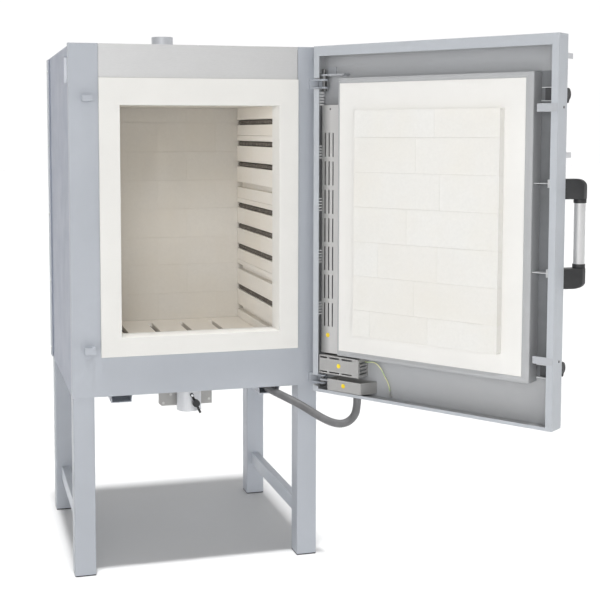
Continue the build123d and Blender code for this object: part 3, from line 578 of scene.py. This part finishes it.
def inset(poly, d):
    """mitred inward offset of a counter-clockwise polygon"""
    out = []
    for i in range(len(poly)):
        p, c, n = poly[i - 1], poly[i], poly[(i + 1) % len(poly)]
        e1 = (c[0] - p[0], c[1] - p[1])
        e2 = (n[0] - c[0], n[1] - c[1])
        l1, l2 = hypot(*e1), hypot(*e2)
        n1, n2 = (-e1[1] / l1, e1[0] / l1), (-e2[1] / l2, e2[0] / l2)
        k = 1 + n1[0] * n2[0] + n1[1] * n2[1]
        out.append((c[0] + d * (n1[0] + n2[0]) / k, c[1] + d * (n1[1] + n2[1]) / k))
    return out


def cut_corners(poly, c):
    """counter-clockwise polygon with every outward corner cut off by c"""
    out = []
    for i in range(len(poly)):
        p, q, n = poly[i - 1], poly[i], poly[(i + 1) % len(poly)]
        cr = (q[0] - p[0]) * (n[1] - q[1]) - (q[1] - p[1]) * (n[0] - q[0])
        if cr <= 0:
            out.append(q)
            continue
        for o in (p, n):
            v = (o[0] - q[0], o[1] - q[1])
            L = hypot(*v)
            t = min(c, L * 0.45) / L
            out.append((q[0] + v[0] * t, q[1] + v[1] * t))
    return out


def prism(bm, lay, poly, a0, a1, put, ch=0.6, tone=0.0, ch0=True, ch1=True):
    """brick: polygon (mm) swept from a0 to a1, edges broken by ch; put(p, q, a) gives the point"""
    poly = cut_corners(ccw(list(poly)), ch)
    small = inset(poly, ch * 0.7)
    levels = ([(a0, small), (a0 + ch * 0.7, poly)] if ch0 else [(a0, poly)]) + ([(a1 - ch * 0.7, poly), (a1, small)] if ch1 else [(a1, poly)])
    rings = [[bm.verts.new(put(p[0], p[1], a)) for p in pl] for a, pl in levels]
    n = len(poly)
    fs = []
    for r, q in zip(rings, rings[1:]):
        for k in range(n):
            fs.append(bm.faces.new((r[k], r[(k + 1) % n], q[(k + 1) % n], q[k])))
    fs.append(bm.faces.new(rings[0][::-1]))
    fs.append(bm.faces.new(rings[-1]))
    for f in fs:
        f[lay] = tone


def finish_mesh(bm, name):
    bmesh.ops.recalc_face_normals(bm, faces=bm.faces)
    big = [f for f in bm.faces if len(f.verts) > 4]
    bmesh.ops.triangulate(bm, faces=big)
    me = bpy.data.meshes.new(name)
    bm.to_mesh(me)
    bm.free()
    return me


def rect_poly(a0, a1, b0, b1):
    return [(a0, b0), (a1, b0), (a1, b1), (a0, b1)]


KX0, KX1, KY1, KZ0, KZ1, BRICK = -261.0, 284.0, 594.0, 751.0, 1565.0, 115.0
GZ, GP = 1509.2, 79.6
random.seed(7)
for side, x_in, x_out, body in (("left", KX0, KX0 - BRICK, "furnace"), ("right", KX1, KX1 + BRICK, "furnace")):
    sg = 1 if x_out > x_in else -1
    bm = bmesh.new()
    lay = bm.faces.layers.float.new("tone")
    courses = [KZ0, 980.0, 1220.0, 1460.0, KZ1]
    for ci, (z0, z1) in enumerate(zip(courses, courses[1:])):
        za, zb = z0 + 0.35, z1 - 0.35
        gs = sorted(GZ - k * GP for k in range(10) if za < GZ - k * GP - 9 and GZ - k * GP + 11 < zb)
        prof = [(x_in, za)]
        for g in gs:
            prof += [(x_in, g - 9), (x_in + sg * 21, g - 9), (x_in + sg * 21, g + 11), (x_in, g + 11)]
        prof += [(x_in, zb), (x_out, zb), (x_out, za)]
        prof = prof if sg < 0 else prof
        put = lambda p, q, a: (p / 1000, a / 1000, q / 1000)
        prism(bm, lay, rect_poly(min(x_in, x_out), max(x_in, x_out), za, zb), 75.8, 88.0, put, 0.7, 0.0, True, False)
        cuts = [88.0] + ([250.0, 480.0] if ci % 2 else [365.0]) + [KY1 - 0.6]
        for j, (ya, yb) in enumerate(zip(cuts, cuts[1:])):
            prism(bm, lay, prof, ya + (0.12 if j else 0), yb - 0.12, put, 0.7, random.uniform(0, 0.55), j > 0, True)
    me = finish_mesh(bm, side + "_wall_bricks")
    new_obj(side + "_wall_bricks", me, "furnace", (M["brick"],), ("chamber_%s_wall" % side,))

bm = bmesh.new()
lay = bm.faces.layers.float.new("tone")
zs = [KZ0, 853.0, 964.0, 1069.0, 1180.0, 1289.0, 1398.0, 1509.0, KZ1]
put = lambda p, q, a: (p / 1000, a / 1000, q / 1000)
for ci, (z0, z1) in enumerate(zip(zs, zs[1:])):
    off = 0 if ci % 2 else 114
    xs = [KX0 - BRICK + 0.3] + [x for x in range(-600 + off, 600, 228) if KX0 - BRICK + 40 < x < KX1 + BRICK - 40] + [KX1 + BRICK - 0.3]
    for xa, xb in zip(xs, xs[1:]):
        dy = random.uniform(0, 0.35)
        prism(bm, lay, rect_poly(xa + 0.05, xb - 0.05, z0 + 0.1, z1 - 0.1), KY1 + dy * 0.5, KY1 + BRICK - 0.5, put, 0.35, random.uniform(0, 0.22))
me = finish_mesh(bm, "back_wall_bricks")
new_obj("back_wall_bricks", me, "furnace", (M["brick_back"],), ("chamber_back_wall",))

# chamber floor: slabs between the heating grooves
bm = bmesh.new()
lay = bm.faces.layers.float.new("tone")
gx = [-192.0, -75.0, 42.0, 159.0]
zt, zb = KZ0 - 0.4, KZ0 - 63.9
prof = [(KX0 - BRICK, zb), (KX1 + BRICK, zb), (KX1 + BRICK, zt)]
for g in reversed(gx):
    prof += [(g + 9, zt), (g + 9, KZ0 - 24), (g - 9, KZ0 - 24), (g - 9, zt)]
prof += [(KX0 - BRICK, zt)]
flat = rect_poly(KX0 - BRICK, KX1 + BRICK, zb, zt)
prism(bm, lay, flat, 75.8, 141.0, put, 0.7, 0.2, True, False)
prism(bm, lay, prof, 141.0, 334.8, put, 0.7, 0.1, False, True)
prism(bm, lay, prof, 335.1, 528.0, put, 0.7, 0.35, True, False)
prism(bm, lay, flat, 528.0, KY1 + BRICK - 0.5, put, 0.7, 0.3, False, True)
me = finish_mesh(bm, "floor_slabs")
new_obj("floor_slabs", me, "furnace", (M["brick"],), ("chamber_floor",))

# door plug: staggered bricks on the door, in closed-door coordinates
PLX0, PLX1, PLZ0, PLZ1, PLY = -249.6, 269.0, 804.5, 1545.0, 15.0
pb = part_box("door_plug")
bm = bmesh.new()
lay = bm.faces.layers.float.new("tone")
zs = [PLZ0, 891.5, 1004.5, 1116.5, 1230.5, 1343.5, 1457.0, PLZ1]
putd = lambda p, q, a: opened(p, a, q)
y_back = -14.6
for ci, (z0, z1) in enumerate(zip(zs, zs[1:])):
    cuts = ([-11.0, 203.0], [39.0], [-43.0, 174.0], [68.0], [-50.0], [38.0], [-28.0])[ci]
    xs = [PLX0] + cuts + [PLX1]
    for j, (xa, xb) in enumerate(zip(xs, xs[1:])):
        g, h = 0.13, 0.05
        prism(bm, lay, rect_poly(xa + (h if j else 0), xb - (h if j < len(xs) - 2 else 0), z0 + (g if ci else 0), z1 - (g if ci < len(zs) - 2 else 0)),
              y_back, PLY - random.uniform(0, 0.25), putd, 0.5, random.uniform(0, 0.3))
me = finish_mesh(bm, "plug_bricks")
new_obj("plug_bricks", me, "door", (M["plug"],), ("door_plug",))


# ------------------------------------------------------------------ wound heating elements
def helix(bm, c, y0, y1, R, r, pitch, seg=12, sides=4, tail=0.0):
    n = int((y1 - y0) / pitch * seg)
    prev = None
    for i in range(n + 1):
        a = 2 * pi * i / seg
        y = y0 + (y1 - y0) * i / n
        er = Vector((cos(a), 0, sin(a)))
        t = Vector((-sin(a) * 2 * pi * R, (y1 - y0) / n * seg, cos(a) * 2 * pi * R)).normalized()
        bi = t.cross(er)
        ctr = Vector((c[0], y, c[1])) + er * R
        ring = [bm.verts.new((ctr + er * (r * cos(2 * pi * k / sides + 0.4)) + bi * (r * sin(2 * pi * k / sides + 0.4))) * 0.001) for k in range(sides)]
        if prev:
            for k in range(sides):
                f = bm.faces.new((prev[k], prev[(k + 1) % sides], ring[(k + 1) % sides], ring[k]))
                f.smooth = True
        else:
            bm.faces.new(ring[::-1])
        prev = ring
    bm.faces.new(prev)


for side, x in (("left", KX0 - 10), ("right", KX1 + 10)):
    bm = bmesh.new()
    for k in (0, 1, 2, 4, 5, 6, 8):
        z = GZ - k * GP
        helix(bm, (x, z), 94.0, KY1 - 18, 7.45, 1.4, 4.4)
    bmesh.ops.recalc_face_normals(bm, faces=bm.faces)
    me = bpy.data.meshes.new("coils")
    bm.to_mesh(me)
    bm.free()
    new_obj(side + "_wall_spirals", me, "furnace", (M["wire"],), ("element_coils",))
bm = bmesh.new()
for g in gx:
    helix(bm, (g, KZ0 - 16.7), 148.5, 520.5, 5.7, 1.3, 4.2)
bmesh.ops.recalc_face_normals(bm, faces=bm.faces)
me = bpy.data.meshes.new("coils")
bm.to_mesh(me)
bm.free()
new_obj("floor_spirals", me, "furnace", (M["wire"],), ("floor_elements",))


# ------------------------------------------------------------------ door handle brackets
def rounded(poly, r, n=6):
    """round a polygon's corners, counter-clockwise, r per corner"""
    poly = list(poly)
    out = []
    for i, (x, y) in enumerate(poly):
        rr = r[i]
        p, q = Vector(poly[i - 1]), Vector(poly[(i + 1) % len(poly)])
        c = Vector((x, y))
        if rr <= 0:
            out.append((x, y))
            continue
        u, w = (p - c).normalized(), (q - c).normalized()
        half = u.angle(w) / 2
        d = min(rr / tan(half), (p - c).length * 0.49, (q - c).length * 0.49)
        rr = d * tan(half)
        o = c + (u + w).normalized() * (rr / sin(half))
        a, b = c + u * d - o, c + w * d - o
        ang = a.angle_signed(b) if False else math.atan2(a.x * b.y - a.y * b.x, a.dot(b))
        for k in range(n + 1):
            t = ang * k / n
            out.append((o.x + a.x * cos(t) - a.y * sin(t), o.y + a.x * sin(t) + a.y * cos(t)))
    return out


PLAN = rounded([(-395, -70.2), (-420, -70.2), (-460.6, -114), (-460.6, -137.6), (-451, -148), (-433, -148), (-395, -103.5)],
               (1.2, 3, 9, 8, 8, 10, 2))
ROOT = (-407.0, -70.2)
bm = bmesh.new()
lay = bm.faces.layers.float.new("tone")


def bracket(zs_):
    rings = []
    for z, k, off in zs_:
        ring = []
        for px, py in inset(ccw(list(PLAN)), off) if off else ccw(list(PLAN)):
            qx, qy = px + (ROOT[0] - px) * k, py + (ROOT[1] - py) * k
            ring.append(bm.verts.new(opened(qx, min(qy, -70.2), z)))
        rings.append(ring)
    n = len(rings[0])
    for a, b in zip(rings, rings[1:]):
        for k in range(n):
            f = bm.faces.new((a[k], a[(k + 1) % n], b[(k + 1) % n], b[k]))
            f.smooth = True
    bm.faces.new(rings[0][::-1])
    bm.faces.new(rings[-1])


def crown(z_flat, z_top, z_far):
    """levels from the flat end to the crowned end"""
    s_ = 1 if z_top > z_flat else -1
    lv = [(z_flat, 0, 1.0), (z_flat + s_ * 0.35, 0, 0.35), (z_flat + s_ * 1.0, 0, 0.0), (z_far, 0, 0)]
    h = z_top - z_far
    for i in range(1, 11):
        t = i / 10
        lv.append((z_far + h * sin(t * pi / 2), 0.36 * (1 - cos(t * pi / 2)), 0))
    return lv


bracket(crown(1276, 1336, 1313))
bracket(crown(1069, 1009, 1027))
for z0, z1 in ((1263.2, 1277), (1068, 1081.8)):
    c0 = opened(-442, -129, 0)
    R = 18.9
    lv = [(z0, R - 1.2), (z0 + 0.5, R - 0.4), (z0 + 1.4, R), (z1 - 1.4, R), (z1 - 0.5, R - 0.4), (z1, R - 1.2)]
    prev = None
    for z, r in [(z0, 16.6)] + lv + [(z1, 16.6)]:
        ring = [bm.verts.new((c0.x + r / 1000 * cos(2 * pi * k / 40), c0.y + r / 1000 * sin(2 * pi * k / 40), z / 1000)) for k in range(40)]
        if prev:
            for k in range(40):
                f = bm.faces.new((prev[k], prev[(k + 1) % 40], ring[(k + 1) % 40], ring[k]))
                f.smooth = True
        else:
            first = ring
        prev = ring
    for k in range(40):
        bm.faces.new((prev[k], prev[(k + 1) % 40], first[(k + 1) % 40], first[k]))
me = finish_mesh(bm, "handle_feet")
for e in me.edges:
    pass
ob = new_obj("handle_feet", me, "door", (M["black"],), ("handle_brackets",))


# ------------------------------------------------------------------ latch wing knobs
def knob(name, zc, node, body):
    """turned hub with a moulded wing, in closed-door coordinates (y outwards is negative)"""
    outline = [(-85.5, 11), (-90, 16), (-97, 20.5), (-105, 21), (-112, 17.5), (-117.5, 10.5), (-119.4, 2), (-117.5, -6), (-112.5, -12),
               (-107.5, -15.5), (-105.6, -20), (-103.5, -23.6), (-99.8, -24.4), (-96.6, -22), (-94.5, -16.5), (-91.5, -12.8), (-85.5, -11)]
    outline = ccw([(y, z) for y, z in outline])
    bm = bmesh.new()
    lay = bm.faces.layers.float.new("tone")
    lv = []
    for t in (-1, -0.86, -0.55, 0, 0.55, 0.86, 1):
        lv.append((t * 4.9, 2.6 * (1 - sqrt(max(0, 1 - t * t)))))
    rings = []
    for x, off in lv:
        pl = inset(outline, off) if off > 0 else outline
        rings.append([bm.verts.new(opened(-408 + x, y, zc + z)) for y, z in pl])
    n = len(outline)
    for a, b in zip(rings, rings[1:]):
        for k in range(n):
            f = bm.faces.new((a[k], a[(k + 1) % n], b[(k + 1) % n], b[k]))
            f.smooth = True
    bm.faces.new(rings[0][::-1])
    bm.faces.new(rings[-1])
    prev = None
    first = None
    for y, r in ((-70.6, 6.3), (-70.6, 11.2), (-71.2, 12), (-82, 12), (-85.5, 11.2), (-87.5, 9.4), (-88.5, 6.3)):
        ring = [bm.verts.new(opened(-408 + r * cos(2 * pi * k / 32), y, zc + r * sin(2 * pi * k / 32))) for k in range(32)]
        if prev:
            for k in range(32):
                f = bm.faces.new((prev[k], prev[(k + 1) % 32], ring[(k + 1) % 32], ring[k]))
                f.smooth = True
        else:
            first = ring
        prev = ring
    for k in range(32):
        bm.faces.new((prev[k], prev[(k + 1) % 32], first[(k + 1) % 32], first[k]))
    me = finish_mesh(bm, name)
    new_obj(name, me, body, (M["black"],), (node,))


knob("wing_knob_top", 1583, "latch_knob_top", "latch_top")
knob("wing_knob_bottom", 764, "latch_knob_bottom", "latch_bottom")


# ------------------------------------------------------------------ small parts on the door
def disc(bm, centre, nrm, r, h, n=24, dome=0.0, hexa=False):
    """low round head: centre on the surface, nrm outwards"""
    nrm = nrm.normalized()
    a = nrm.cross(Vector((0, 0, 1)))
    a = a.normalized() if a.length > 1e-3 else Vector((1, 0, 0))
    b = nrm.cross(a)
    n = 6 if hexa else n
    lv = [(r, 0), (r, h * 0.7), (r * 0.93, h * 0.92), (r * 0.8, h)] + ([(r * 0.45, h + dome)] if dome else [])
    prev = None
    for rr, hh in lv:
        ring = [bm.verts.new((centre + a * (rr * cos(2 * pi * k / n)) + b * (rr * sin(2 * pi * k / n)) + nrm * hh)) for k in range(n)]
        if prev:
            for k in range(n):
                bm.faces.new((prev[k], prev[(k + 1) % n], ring[(k + 1) % n], ring[k]))
        else:
            bm.faces.new(ring[::-1])
        prev = ring
    bm.faces.new(prev)


def along(x, y, z):
    return opened(x, y, z) - opened(0, 0, 0)


# plain yellow dots where the covers carry their markings
bm = bmesh.new()
lay = bm.faces.layers.float.new("tone")
for x, y, z in ((394.0, -19.9, 788.0), (341, -7.9, 689.5), (322, -7.7, 624)):
    disc(bm, opened(x, y, z), along(0, 1, 0), 0.0075, 0.0004, 28)
me = finish_mesh(bm, "plain_dots")
new_obj("plain_dots", me, "door", (M["dot"],), ())
bm = bmesh.new()
lay = bm.faces.layers.float.new("tone")
for x, y, z, r in ((387, -19.9, 706, 0.003), (387, -19.9, 1550, 0.003)):
    disc(bm, opened(x, y, z), along(0, 1, 0), r, 0.0016, 20, 0.0004)
for x, y, z, r in ((-422, -46, 1546, 0.004), (-422, -46, 796, 0.004)):
    disc(bm, opened(x, y, z), along(-1, 0, 0), r, 0.0018, 20, 0.0004)
me = finish_mesh(bm, "cover_screws")
new_obj("cover_screws", me, "door", (M["bolt"],), ())

# raised lip of the panel frame, sloping to the insulation
bm = bmesh.new()
lay = bm.faces.layers.float.new("tone")
LIP = [((-342.6, 350.6, 724.4, 1651.6), -15.0), ((-341.8, 350.2, 725.4, 1650.8), -13.4), ((-331.0, 348.6, 733.0, 1643.4), -13.2), ((-318.0, 346.1, 741.2, 1634.4), -15.9)]
rings = [[bm.verts.new(opened(x, y, z)) for x, z in ((b[0], b[2]), (b[1], b[2]), (b[1], b[3]), (b[0], b[3]))] for b, y in LIP]
back_ = [[bm.verts.new(opened(x, -16.2, z)) for x, z in ((b[0], b[2]), (b[1], b[2]), (b[1], b[3]), (b[0], b[3]))] for b, y in (LIP[0], LIP[-1])]
rings = [back_[0]] + rings + [back_[1], back_[0]]
for a, b in zip(rings, rings[1:]):
    for k in range(4):
        bm.faces.new((a[k], a[(k + 1) % 4], b[(k + 1) % 4], b[k]))
me = finish_mesh(bm, "panel_lip")
new_obj("panel_lip", me, "door", (M["panel_grey"],), ())

# open tray whose free end rakes outwards to the back
bm = bmesh.new()
lay = bm.faces.layers.float.new("tone")
OUT = [(386.0, -7.8), (386.0, -67.4), (226.0, -67.4), (252.0, -7.8)]
INN = [(384.5, -9.3), (384.5, -65.9), (228.6, -65.9), (253.2, -9.3)]
lv = [[bm.verts.new(opened(x, y, z)) for x, y in pl] for pl, z in ((OUT, 603.0), (OUT, 642.0), (INN, 642.0), (INN, 604.5))]
for a, b in zip(lv, lv[1:]):
    for k in range(4):
        bm.faces.new((a[k], a[(k + 1) % 4], b[(k + 1) % 4], b[k]))
bm.faces.new(lv[0][::-1])
bm.faces.new(lv[-1])
me = finish_mesh(bm, "wiring_tray")
new_obj("wiring_tray", me, "door", (M["steel"],), ("terminal_tray",))

# return lips of the rear cover and back plates of the grip recesses
for nm, sg in (("left", -1), ("right", 1)):
    bm = bmesh.new()
    lay = bm.faces.layers.float.new("tone")
    xa, xb = sorted((sg * 421.65, sg * 424.9))
    prism(bm, lay, rect_poly(xa, xb, 620.0, 1747.0), 700.3, 702.5, put, 0.2)
    # the left lip takes the darker side paint, painted shade
    new_obj(nm + "_rear_lip", finish_mesh(bm, nm + "_rear_lip"), "furnace", (M["paint_side_shaded"] if sg < 0 else M["paint"],), ())
    # the recess plates carry the pale paint, painted light in the shaded recess
    bm = bmesh.new()
    lay = bm.faces.layers.float.new("tone")
    xa, xb = sorted((sg * 410.1, sg * 410.9))
    prism(bm, lay, rect_poly(xa, xb, 1635.2, 1721.8), 46.2, 143.4, put, 0.1)
    xa, xb = sorted((sg * 410.1, sg * 420.9))
    prism(bm, lay, rect_poly(xa, xb, 1635.2, 1721.8), 143.6, 144.3, put, 0.1)
    new_obj(nm + "_recess_plate", finish_mesh(bm, nm + "_recess_plate"), "furnace", (M["paint_pale"],), ())

# pale facing on the right jamb of the collar
bm = bmesh.new()
lay = bm.faces.layers.float.new("tone")
prism(bm, lay, rect_poly(280.2, 280.95, 798.6, 1561.4), -11.0, 74.6, put, 0.2)
me = finish_mesh(bm, "jamb_facing")
new_obj("jamb_facing", me, "furnace", (M["board"],), ())

# small louvre blades behind the slots of the hinge side and edging around the bracket openings
bm = bmesh.new()
lay = bm.faces.layers.float.new("tone")


def slab(x0, x1, y0, y1, z0, z1, put_=opened):
    v = [bm.verts.new(put_(x, y, z)) for z in (z0, z1) for x, y in ((x0, y0), (x1, y0), (x1, y1), (x0, y1))]
    for f in ((0, 3, 2, 1), (4, 5, 6, 7), (0, 1, 5, 4), (1, 2, 6, 5), (2, 3, 7, 6), (3, 0, 4, 7)):
        bm.faces.new([v[i] for i in f])


for z in [zc + (j - 2) * 10 for zc in (1584, 1405, 1227, 1050, 872) for j in range(5)]:
    slab(441.0, 442.0, -66, -32, z - 3.0, z + 0.5)
me = finish_mesh(bm, "vent_louvres")
new_obj("vent_louvres", me, "door", (M["pan"],), ())
bm = bmesh.new()
lay = bm.faces.layers.float.new("tone")
for z0, z1 in ((1616.2, 1618.3), (1651.7, 1653.8), (611.2, 613.3), (646.7, 648.8)):
    slab(440.9, 444.4, -63.6, -7.6, z0, z1)
me = finish_mesh(bm, "notch_edging")
new_obj("notch_edging", me, "door", (M["stiff"],), ())

# folded back of the upper hinge bracket, painted near-black as painted shade under its flange
bm = bmesh.new()
lay = bm.faces.layers.float.new("tone")
wall = [(419.0, -2.7), (441.0, -33.5), (441.4, -41.0), (438.6, -49.8)]
inner = [(416.6, -4.2), (439.0, -34.2), (439.3, -41.0), (436.8, -48.8)]
lo, hi = [], []
for p in wall + inner[::-1]:
    lo.append(bm.verts.new(straight(p[0], p[1], 1624.9)))
    hi.append(bm.verts.new(straight(p[0], p[1], 1645.1)))
n = len(lo)
for k in range(n):
    bm.faces.new((lo[k], lo[(k + 1) % n], hi[(k + 1) % n], hi[k]))
bm.faces.new(lo[::-1])
bm.faces.new(hi)
me = finish_mesh(bm, "hinge_back")
new_obj("hinge_back", me, "furnace", (M["bracket_dark"],), ())

# ------------------------------------------------------------------ stage and light
me = bpy.data.meshes.new("floor")
me.from_pydata([(-40, -40, -0.0005), (40, -40, -0.0005), (40, 40, -0.0005), (-40, 40, -0.0005)], [], [(0, 1, 2, 3)])
floor = bpy.data.objects.new("floor", me)
COL.objects.link(floor)
fm = Mat("pale_floor", **{"Roughness": 0.8, "Specular IOR Level": 0.1})
fm.color(fm.mix(fm.maprange(fm.noise(1.5, 3), 0.3, 0.7, 0, 1), (0.70, 0.70, 0.70), (0.715, 0.715, 0.715)))
fm.bump((fm.noise(60, 2), 0.02, 0.001))
me.materials.append(fm.m)

world = bpy.data.worlds.new("studio")
SC.world = world
world.use_nodes = True
wn = world.node_tree
bg = wn.nodes["Background"]
tc = wn.nodes.new("ShaderNodeTexCoord")
sep = wn.nodes.new("ShaderNodeSeparateXYZ")
wn.links.new(tc.outputs["Generated"], sep.inputs[0])


def wmap(sock, a, b, c, d):
    mr = wn.nodes.new("ShaderNodeMapRange")
    mr.interpolation_type = "SMOOTHSTEP"
    for k_, v_ in (("From Min", a), ("From Max", b), ("To Min", c), ("To Max", d)):
        mr.inputs[k_].default_value = v_
    wn.links.new(sock, mr.inputs["Value"])
    return mr.outputs["Result"]


back = wmap(sep.outputs["Y"], 0.58, 0.84, 0.0, 1.02)
side = wmap(sep.outputs["X"], -0.9, 0.3, 0.28, 0.54)
low = wmap(sep.outputs["Z"], 0.05, 0.12, 1.02, 0.0)
m0 = wn.nodes.new("ShaderNodeMath")
m0.operation = "MAXIMUM"
wn.links.new(back, m0.inputs[0])
wn.links.new(low, m0.inputs[1])
mx = wn.nodes.new("ShaderNodeMath")
mx.operation = "MAXIMUM"
wn.links.new(m0.outputs[0], mx.inputs[0])
wn.links.new(side, mx.inputs[1])
wn.links.new(mx.outputs[0], bg.inputs["Strength"])
bg.inputs["Color"].default_value = (1, 1, 1, 1)


def overhead(name, energy):
    lamp = bpy.data.lights.new(name, "SUN")
    lamp.energy = energy
    lamp.angle = radians(7)
    o = bpy.data.objects.new(name, lamp)
    o.rotation_euler = Vector((0.015, 0.10, -1)).to_track_quat("-Z", "Y").to_euler()
    COL.objects.link(o)
    return o


def linked(name, objs, state):
    c = bpy.data.collections.new(name)
    for o in objs:
        c.objects.link(o)
    for lk in c.collection_objects:
        lk.light_linking.link_state = state
    return c


def body_of(o):
    while o is not None:
        if "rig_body" in o.keys():
            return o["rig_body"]
        o = o.parent
    return None


# the body shades the ground, the open door does not
on_object = overhead("overhead", 1.95)
on_object.light_linking.receiver_collection = linked("all_but_ground", [floor], "EXCLUDE")
on_ground = overhead("overhead_ground", 3.3)
on_ground.light_linking.receiver_collection = linked("ground_only", [floor], "INCLUDE")
swung = [o for o in SC.objects if o.type == "MESH" and o is not floor and (body_of(o) in ("door", "latch_top", "latch_bottom") or (o.parent is not None and any(
    o.parent.name.startswith(b_) for b_ in ("door", "latch_top", "latch_bottom"))))]
print("left out of the ground shadow", len(swung))
on_ground.data.angle = radians(4)
on_ground.light_linking.blocker_collection = linked("no_ground_shadow", swung + [con, NODE["rear_cover"], NODE["rear_housing"]], "EXCLUDE")

key = bpy.data.lights.new("front_soft", "AREA")
key.shape = "RECTANGLE"
key.size, key.size_y = 3.4, 2.6
key.energy = 54
ko = bpy.data.objects.new("front_soft", key)
ko.location = (-1.6, -4.7, 2.3)
ko.rotation_euler = (Vector((0.3, 0, 1.1)) - ko.location).to_track_quat("-Z", "Y").to_euler()
COL.objects.link(ko)

# soft fill from the left into the chamber and onto the inside of the door
def soft_area(name, at, to, size, energy, receivers):
    lamp = bpy.data.lights.new(name, "AREA")
    lamp.shape = "RECTANGLE"
    lamp.size, lamp.size_y = size, size
    lamp.energy = energy
    o = bpy.data.objects.new(name, lamp)
    o.location = at
    o.rotation_euler = (Vector(to) - o.location).to_track_quat("-Z", "Y").to_euler()
    COL.objects.link(o)
    o.light_linking.receiver_collection = linked(name + "_on", receivers, "INCLUDE")


OBS = bpy.data.objects
soft_area("door_fill", (-2.6, -3.4, 1.7), (0.6, -0.3, 1.1), 2.0, 28, swung)
soft_area("side_fill", (-2.8, -3.2, 1.6), (0.28, 0.3, 1.1), 1.6, 68,
          [OBS["right_wall_bricks"], OBS["right_wall_spirals"], OBS["jamb_facing"], NODE["leg_rear_right"], NODE["side_stretchers"]])
soft_area("edge_fill", (-2.8, -3.2, 1.6), (0.0, 0.3, 1.1), 1.6, 24,
          [NODE["rear_cover"], OBS["left_rear_lip"], OBS["left_recess_plate"], NODE["side_stretchers"]])
soft_area("chamber_fill", (-0.7, -3.0, 3.25), (0.0, 0.4, 0.85), 1.0, 40, [OBS["back_wall_bricks"]])
soft_area("ground_fill", (-0.7, -3.0, 3.25), (0.0, 0.4, 0.85), 1.0, 56, [OBS["floor_slabs"], OBS["floor_spirals"]])
